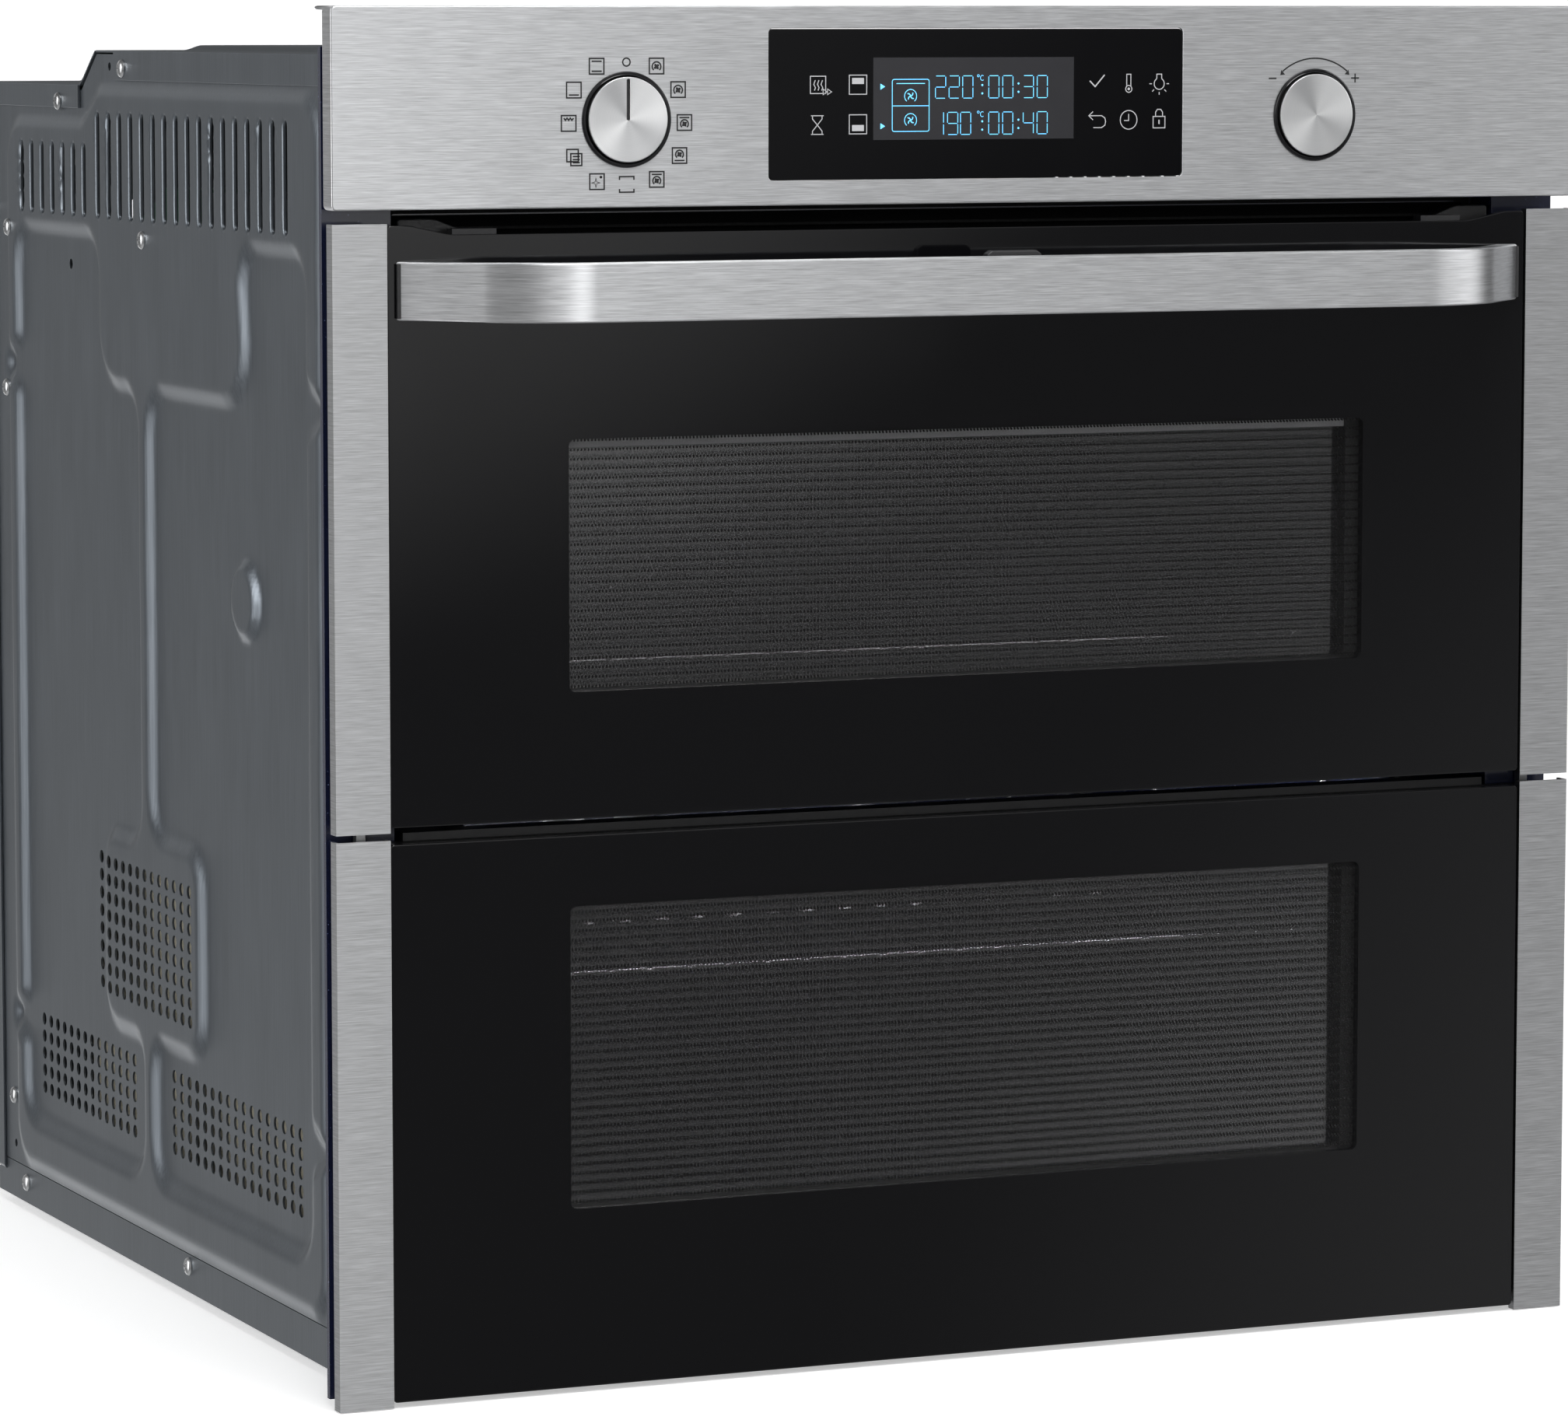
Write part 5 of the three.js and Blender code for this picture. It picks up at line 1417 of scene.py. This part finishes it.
def door_glass():
    """Both outer glasses; the upper one has a grey bar over its window, which is painted reflection, and a
    trim behind its top edge.
    """
    low, high = LOWER_GLASS
    glass_pane("lower", rectangle(low[0], high[0], low[2], high[2], 1.5, 3))
    low, high = UPPER_GLASS
    top, dip = high[2], high[2] - GLASS_DIP["depth"]
    outer, inner, bend = GLASS_DIP["outer"], GLASS_DIP["inner"], GLASS_DIP["bend"]
    corners = [
        (low[0], low[2]), (high[0], low[2]), (high[0], top), (outer, top), (inner, dip), (-inner, dip),
        (-outer, top), (low[0], top),
    ]
    glass_pane("upper", fillet(corners, [1.5, 1.5, 1.5, bend, bend, bend, bend, 1.5], 5))
    x0, x1, _, z1 = WINDOWS["upper"]
    right, bar_top = x1 - CHANNEL_SHADE_STRIP - 0.4, z1 - 0.3
    bar = prism(rectangle(x0 + 0.3, right, bar_top - WINDOW_REFLECTION_BAR["height"], bar_top, 0.5, 2), *WINDOW_REFLECTION_BAR["y"])
    build("upper_window_reflection_bar", along_y(bar), GREY_PAINTED_REFLECTION, "upper_door")
    x, low, end_top, top = TRIM["x"], TRIM["low"], TRIM["end_top"], TRIM["top"]
    near, far = TRIM_SLOPE_X
    corners = [
        (-x, low), (x, low), (x, end_top), (far, end_top), (near, top), (-near, top), (-far, end_top),
        (-x, end_top),
    ]
    bend = TRIM["bend"]
    trim = prism(fillet(corners, [0.5, 0.5, 1.5, bend, bend, bend, bend, 1.5], 5), *TRIM["y"], edge=0.6)
    build("upper_door_top_trim", along_y(trim), BLACK_PLASTIC, "upper_door")


VENT = {"x": 264, "z": (466, 507), "y": (-256.7, -256.05)}
VENT_SLOTS = {"count": 11, "pitch": 42, "half": 18, "z": (471, 486)}
VENT_MOUTH = (-258, 258, 490.5, 503)
SLATS_Z = (491.0, 496.4)
SLAT = {"half_length": 260, "y": (-263.6, -256.4), "slope": 4.8, "skin": 1.2}


def vent_trim():
    """Black cover of the air outlet: slots behind the door's top edge, sloping slats above it. Its near-black
    colour is painted shade for the dark gap between the panel and the door.
    """
    half = VENT_SLOTS["half"]
    places = spread_out(VENT_SLOTS["count"], VENT_SLOTS["pitch"])
    holes = [rectangle(x - half, x + half, *VENT_SLOTS["z"], 1.5, 3) for x in places]
    holes.append(rectangle(*VENT_MOUTH, 1.5, 3))
    plate = prism(rectangle(-VENT["x"], VENT["x"], *VENT["z"], 1.0, 3), *VENT["y"], holes)
    shapes = [along_y(plate)]
    (front, back), slope, skin = SLAT["y"], SLAT["slope"], SLAT["skin"]
    for z in SLATS_Z:
        slat = [(front, z), (back, z + slope), (back, z + slope + skin), (front, z + skin)]
        shapes.append(along_x(prism(slat, -SLAT["half_length"], SLAT["half_length"])))
    build("vent_trim", together(shapes), MATT_BLACK_AND_SHADE)


TRAY = {"x": 99, "z": (517, 581), "y": (-287.5, -277.2), "skin": 1.2}


def display_housing():
    """Black tray that closes the display board off behind."""
    outline = rectangle(-TRAY["x"], TRAY["x"], *TRAY["z"], 2.0, 3)
    (front, back), skin = TRAY["y"], TRAY["skin"]
    inner = inset(outline, skin)
    walls = prism(outline, front, back, [inner.tolist()])
    back = prism(inset(inner, 0.02).tolist(), back - skin, back - 0.1)
    build("display_housing", along_y(together([walls, back])), MATT_BLACK_AND_SHADE)


# ---------------------------------------------------------------- handle
HANDLE = {"end": 268.8, "strap": 8.0, "bend": 60.0, "slope": 0.82}
HOUSING = {"half": 22, "y": (-334.2, -322.5), "z": (462.5, 475.0)}
KEY_DROP = 2.4  # the key's top stands this much lower than its collision solid
KEY_CHAMFER = (2.4, 1.6)


def handle():
    """A bent strap on two sloping legs, with the lever's housing behind its middle."""
    low, high = HANDLE_LOW[2], HANDLE_HIGH[2]
    end, slope, strap, bend = HANDLE["end"], HANDLE["slope"], HANDLE["strap"], HANDLE["bend"]
    foot, face = HANDLE_HIGH[1], HANDLE_LOW[1]
    corner = end - (foot - face) / math.tan(slope)
    bend_x, bend_y = corner - bend * math.tan(slope / 2), face + bend
    foot_in = end - strap / math.sin(slope)
    steps = 20

    def arc(side, radius, first, last):
        turns = [first + (last - first) * k / steps for k in range(steps + 1)]
        return [(side * (bend_x + radius * math.sin(t)), bend_y - radius * math.cos(t)) for t in turns]

    outline = [(-end, foot)]
    outline += arc(-1, bend, slope, 0) + arc(1, bend, 0, slope)
    outline += [(end, foot), (foot_in, foot)]
    outline += arc(1, bend - strap, slope, 0) + arc(-1, bend - strap, 0, slope)
    outline += [(-foot_in, foot)]
    shape = prism(outline, low, high, edge=0.9, steps=4)
    build("handle_strap", shape, STEEL_HANDLE, "upper_door", ["handle"])
    for side, name in ((-1, "left"), (1, "right")):
        x0, x1 = sorted((side * (end + 0.2), side * (foot_in - 2)))
        pad = prism(rectangle(x0, x1, foot - 1.6, foot - 0.1), low + 1, high - 1, edge=0.3)
        build(f"{name}_handle_pad", pad, BLACK_PLASTIC, "upper_door")
    half = HOUSING["half"]
    housing = prism(rectangle(-half, half, *HOUSING["y"], 2.0), *HOUSING["z"], edge=0.8)
    build("lever_housing", housing, BLACK_PLASTIC, "upper_door")
    (left, front, bottom), (right, back, top) = LEVER_LOW, LEVER_HIGH
    top -= KEY_DROP
    along, down = KEY_CHAMFER
    corners = [
        (left, bottom), (right, bottom), (right, top - down), (right - along, top), (left + along, top),
        (left, top - down),
    ]
    key = prism(fillet(corners, [0.3, 0.3, 1.0, 1.2, 1.2, 1.0], 4), front, back, edge=0.8)
    build("release_key", along_y(key), BLACK_PLASTIC, "release_lever", ["release_lever"])


# ---------------------------------------------------------------- wires and heating elements
def round_rod(start, end, radius):
    return tube([start, tuple((Vector(start) + Vector(end)) / 2), end], radius)


RACK = {"frame_r": 3.0, "rod_r": 1.6, "ear": 3.0, "brace_r": 2.0, "bend": 14, "rods": 22, "pitch": 18.9}
ROD_END = {"over": 2.6, "down": 1.6, "up": 1.4, "bend": 1.8}  # each rod turns down over the frame


def wire_rack(zone_name):
    """A chromed rack: a bent frame, a cross bar under it, and rods whose ends turn over the frame."""
    node = f"{zone_name}_wire_rack"
    low, high = box_mm(node)
    frame_r, brace_r = RACK["frame_r"], RACK["brace_r"]
    x0, x1 = low[0] + RACK["ear"], high[0] - RACK["ear"]
    y0, y1 = low[1] + frame_r, high[1] - frame_r
    z = high[2] - frame_r
    corners = [(0, y0, z), (x1, y0, z), (x1, y1, z), (x0, y1, z), (x0, y0, z), (0, y0, z)]
    shapes = [tube(bent(corners, RACK["bend"]), frame_r, 16)]
    middle, under = (y0 + y1) / 2, z - 3.2
    shapes.append(round_rod((x0, middle, under), (x1, middle, under), brace_r))
    for y in (y0 + 30, y1 - 20):
        for side, x in ((-1, x0), (1, x1)):
            shapes.append(round_rod((x + side * 0.5, y, z), (x + side * 5.8, y, z), brace_r))
    front, back = y0 - ROD_END["over"], y1 + ROD_END["over"]
    top, down = z + ROD_END["up"], z - ROD_END["down"]
    for x in spread_out(RACK["rods"], RACK["pitch"]):
        path = [(x, front, down), (x, front, top), (x, back, top), (x, back, down)]
        shapes.append(tube(bent(path, ROD_END["bend"], 4), RACK["rod_r"], 10))
    build(f"{node}_rods", together(shapes), CHROME, f"{zone_name}_rack", [node])


RAIL_LEVELS = [105, 159.2, 200, 241, 297.2, 350, 400]
RAIL = {"radius": 2.4, "x": 217.0, "wall_x": 221, "front": -224.5, "back": 142}
POSTS_Y = (-200, -28, 138)


def shelf_support(name, side):
    """A ladder of rails that run back along the cavity's wall, bent round at their front ends."""
    low, high = box_mm(f"{name}_shelf_support")
    rail_x, wall_x, radius = side * RAIL["x"], side * RAIL["wall_x"], RAIL["radius"]
    front = RAIL["front"]
    shapes = []
    for z in RAIL_LEVELS:
        path = [(wall_x, -200, z), (wall_x, front + 3.5, z), (rail_x, front, z), (rail_x, RAIL["back"], z)]
        shapes.append(tube(bent(path, 3.0, 4), radius, 12))
    for y in POSTS_Y:
        shapes.append(round_rod((wall_x, y, low[2]), (wall_x, y, high[2]), radius))
    build(f"{name}_support_wires", together(shapes), CHROME, "root", [f"{name}_shelf_support"])


ELEMENT_R = 3.3
GRILL = {"outer_x": 175, "pitch": 50, "loops": 6, "front": -205, "back": 120, "end": 189.4, "bend": 22}
BOTTOM_HALF = [(-60, 187), (-60, 130), (-180, 130), (-180, -190)]  # its left half, seen from above
LEAD = {"x": 70, "radius": 3.0}  # the two ends of a ring element


def element(piece, node, shape):
    build(piece, shape, ELEMENT, "root", [node])


def elements():
    """The grill element, the bottom element and the two ring elements round the fans."""
    r = ELEMENT_R
    z = box_mm("grill_element")[0][2] + r
    outer, front, end = GRILL["outer_x"], GRILL["front"], GRILL["end"]
    path = [(-outer, end, z), (-outer, front, z)]
    for i, x in enumerate(spread_out(GRILL["loops"], GRILL["pitch"])):
        ends = (front, GRILL["back"]) if i % 2 == 0 else (GRILL["back"], front)
        path += [(x, y, z) for y in ends]
    path += [(outer, front, z), (outer, end, z)]
    element("grill_element_tube", "grill_element", tube(bent(path, GRILL["bend"], 8), r, 12))
    z = box_mm("bottom_element")[0][2] + r
    path = [(x, y, z) for x, y in BOTTOM_HALF]
    path += [(-x, y, z) for x, y, z in reversed(path)]
    element("bottom_element_tube", "bottom_element", tube(bent(path, 26, 8), r, 12))
    for place in ("upper", "lower"):
        low, high = box_mm(f"{place}_ring_element")
        z, y, radius = (low[2] + high[2]) / 2, low[1] + r, (high[0] - low[0]) / 2 - r
        turns = [2 * math.pi * k / 12 for k in range(12)]
        section = [(radius + r * math.cos(a), y + r * math.sin(a)) for a in turns]
        shapes = [ring(section, 0, z, 64)]
        for x in (-LEAD["x"], LEAD["x"]):
            top = z + math.sqrt(radius * radius - x * x)
            shapes.append(round_rod((x, y, top), (x, high[1], top), LEAD["radius"]))
        element(f"{place}_ring_tube", f"{place}_ring_element", together(shapes))


# ---------------------------------------------------------------- carried-over nodes
def dress_nodes():
    for part in frame["record"]["subparts"]:
        node = frame["nodes"][part["node"]]
        node.data.materials.clear()
        node.data.materials.append(SLOT_LOOKS[part["material_slot"]][0])
    soften("base_plate", 0.4)
    for node in ("upper_left_strip", "upper_right_strip", "lower_left_strip", "lower_right_strip"):
        # the strips get the darker copy of the steel, which paints shade on them
        frame["nodes"][node].data.materials[0] = STRIP_STEEL_PAINTED_SHADE
        soften(node, 0.5, 3)
    for node in ("front_frame", "cavity_liner"):
        soften(node, 0.4)


# ---------------------------------------------------------------- floor, light and camera
CAMERA_AT = (-1.232760, -2.918263, 0.588537)
CAMERA_YAW = 0.410
CAMERA_PITCH = 0.10463
LENS = 152.737
FLOOR_Z = CAD_BOX[0].z - 0.0005

AIM = Vector((0, 0, 0.3))
BASE_LIGHT = 0.12
PANELS_OF_LIGHT = [  # direction, full to this many degrees off it, none beyond this many, strength
    ((0.12, -0.50, 0.86), 15, 55, 0.28),
    ((0.12, -0.91, 0.39), 6, 30, 0.42),
    ((0.156, -0.985, 0.09), 2, 10, 5.6),
    ((0.0, 0.0, -1.0), 35, 76, 0.35),
    ((-0.98, 0.16, -0.11), 12, 23, 2.2),
    ((-0.87, -0.50, 0.1), 5, 30, 0.22),
    ((-0.33, 0.94, -0.10), 8, 30, 0.17),
    ((0.0, 0.95, -0.36), 5, 18, 1.2),
    ((-0.19, 0.94, 0.32), 5, 18, 0.35),
    ((0.31, -0.95, 0.07), 6, 10, 0.65),
    ((0.62, -0.75, -0.25), 3, 16, 0.42),
    ((0.98, -0.22, 0.1), 5, 18, 1.9),
]


def floor():
    """A pale floor that curves up into a far wall."""
    radius, fillet_r, top, steps = 9.0, 2.0, 7.0, 64
    profile = [(0.0, 0.0), (radius, 0.0)]
    for k in range(1, 9):
        angle = math.pi / 2 * k / 8
        profile.append((radius + fillet_r * math.sin(angle), fillet_r * (1 - math.cos(angle))))
    profile.append((radius + fillet_r, top))
    points, faces = lathe(profile, 0, 0, steps)
    mesh = bpy.data.meshes.new("floor")
    mesh.from_pydata([(x, z, y + FLOOR_Z) for x, y, z in points], [], faces)
    mesh.polygons.foreach_set("use_smooth", [True] * len(mesh.polygons))
    look = Look("floor", Roughness=0.9, Emission_Color=(1, 1, 1, 1), Emission_Strength=0.45)
    look.drive("Base Color", look.colours(look.noise((3, 3, 3)), (0.80, 0.80, 0.80), (0.83, 0.83, 0.83)))
    mesh.materials.append(look.material)
    ground = bpy.data.objects.new("floor", mesh)
    ground.visible_glossy = False
    bpy.context.scene.collection.objects.link(ground)


def world():
    """Soft studio surroundings: a dim base with broad, smooth-edged panels of light."""
    sky = bpy.data.worlds.new("studio")
    sky.use_nodes = True
    nodes, links = sky.node_tree.nodes, sky.node_tree.links
    place = nodes.new("ShaderNodeTexCoord").outputs["Generated"]
    total = None
    for direction, start, end, strength in PANELS_OF_LIGHT:
        toward = nodes.new("ShaderNodeVectorMath")
        toward.operation = "DOT_PRODUCT"
        links.new(place, toward.inputs[0])
        toward.inputs[1].default_value = Vector(direction).normalized()
        level = nodes.new("ShaderNodeMapRange")
        level.interpolation_type = "SMOOTHSTEP"
        links.new(toward.outputs["Value"], level.inputs["Value"])
        level.inputs["From Min"].default_value = math.cos(math.radians(end))
        level.inputs["From Max"].default_value = math.cos(math.radians(start))
        level.inputs["To Max"].default_value = strength
        if total is None:
            level.inputs["To Min"].default_value = BASE_LIGHT
            level.inputs["To Max"].default_value = BASE_LIGHT + strength
            total = level.outputs["Result"]
            continue
        add = nodes.new("ShaderNodeMath")
        links.new(total, add.inputs[0])
        links.new(level.outputs["Result"], add.inputs[1])
        total = add.outputs[0]
    nodes["Background"].inputs["Color"].default_value = (1, 1, 1, 1)
    links.new(total, nodes["Background"].inputs["Strength"])
    bpy.context.scene.world = sky


def lamp(name, at, shape, size, power):
    """An area light that isn't turned yet."""
    light = bpy.data.lights.new(name, "AREA")
    light.shape = shape
    light.size = size
    light.energy = power
    made = bpy.data.objects.new(name, light)
    made.location = at
    bpy.context.scene.collection.objects.link(made)
    return made


def soft_light(name, at, power):
    """A round studio light, aimed at the middle of the oven."""
    made = lamp(name, at, "DISK", 2.0, power)
    made.rotation_euler = (AIM - Vector(at)).to_track_quat("-Z", "Y").to_euler()


def cavity_light(name, z, power):
    """A slim lamp across the front of one cooking zone, hidden from the camera."""
    made = lamp(name, (0, -0.25, z), "RECTANGLE", 0.38, power)
    made.data.size_y = 0.02
    made.rotation_euler = (0.8, 0, 0)
    made.visible_camera = False


def camera():
    data = bpy.data.cameras.new("camera")
    data.sensor_width = 36
    data.sensor_fit = "HORIZONTAL"
    data.lens = LENS
    data.clip_end = 50
    view = bpy.data.objects.new("camera", data)
    view.location = CAMERA_AT
    view.rotation_euler = (math.pi / 2 - CAMERA_PITCH, 0, -CAMERA_YAW)
    bpy.context.scene.collection.objects.link(view)
    bpy.context.scene.camera = view


camera()
world()
floor()
soft_light("overhead", (-0.1, -1.8, 3.2), 70)
soft_light("left", (-3.4, 0.4, 1.4), 45)
soft_light("right", (2.8, -2.0, 1.8), 25)
cavity_light("upper_cavity_light", 0.415, 0.3)
cavity_light("lower_cavity_light", 0.236, 1.3)
bpy.context.scene.view_settings.view_transform = "Standard"

dress_nodes()
side_panels()
top_covers()
back_panel()
control_panel()
display_housing()
vent_trim()
mode_icons()
value_marks()
display()
for name, x in KNOBS.items():
    knob(name, x)
door_glass()
handle()
wire_rack("upper")
wire_rack("lower")
shelf_support("left", -1)
shelf_support("right", 1)
elements()
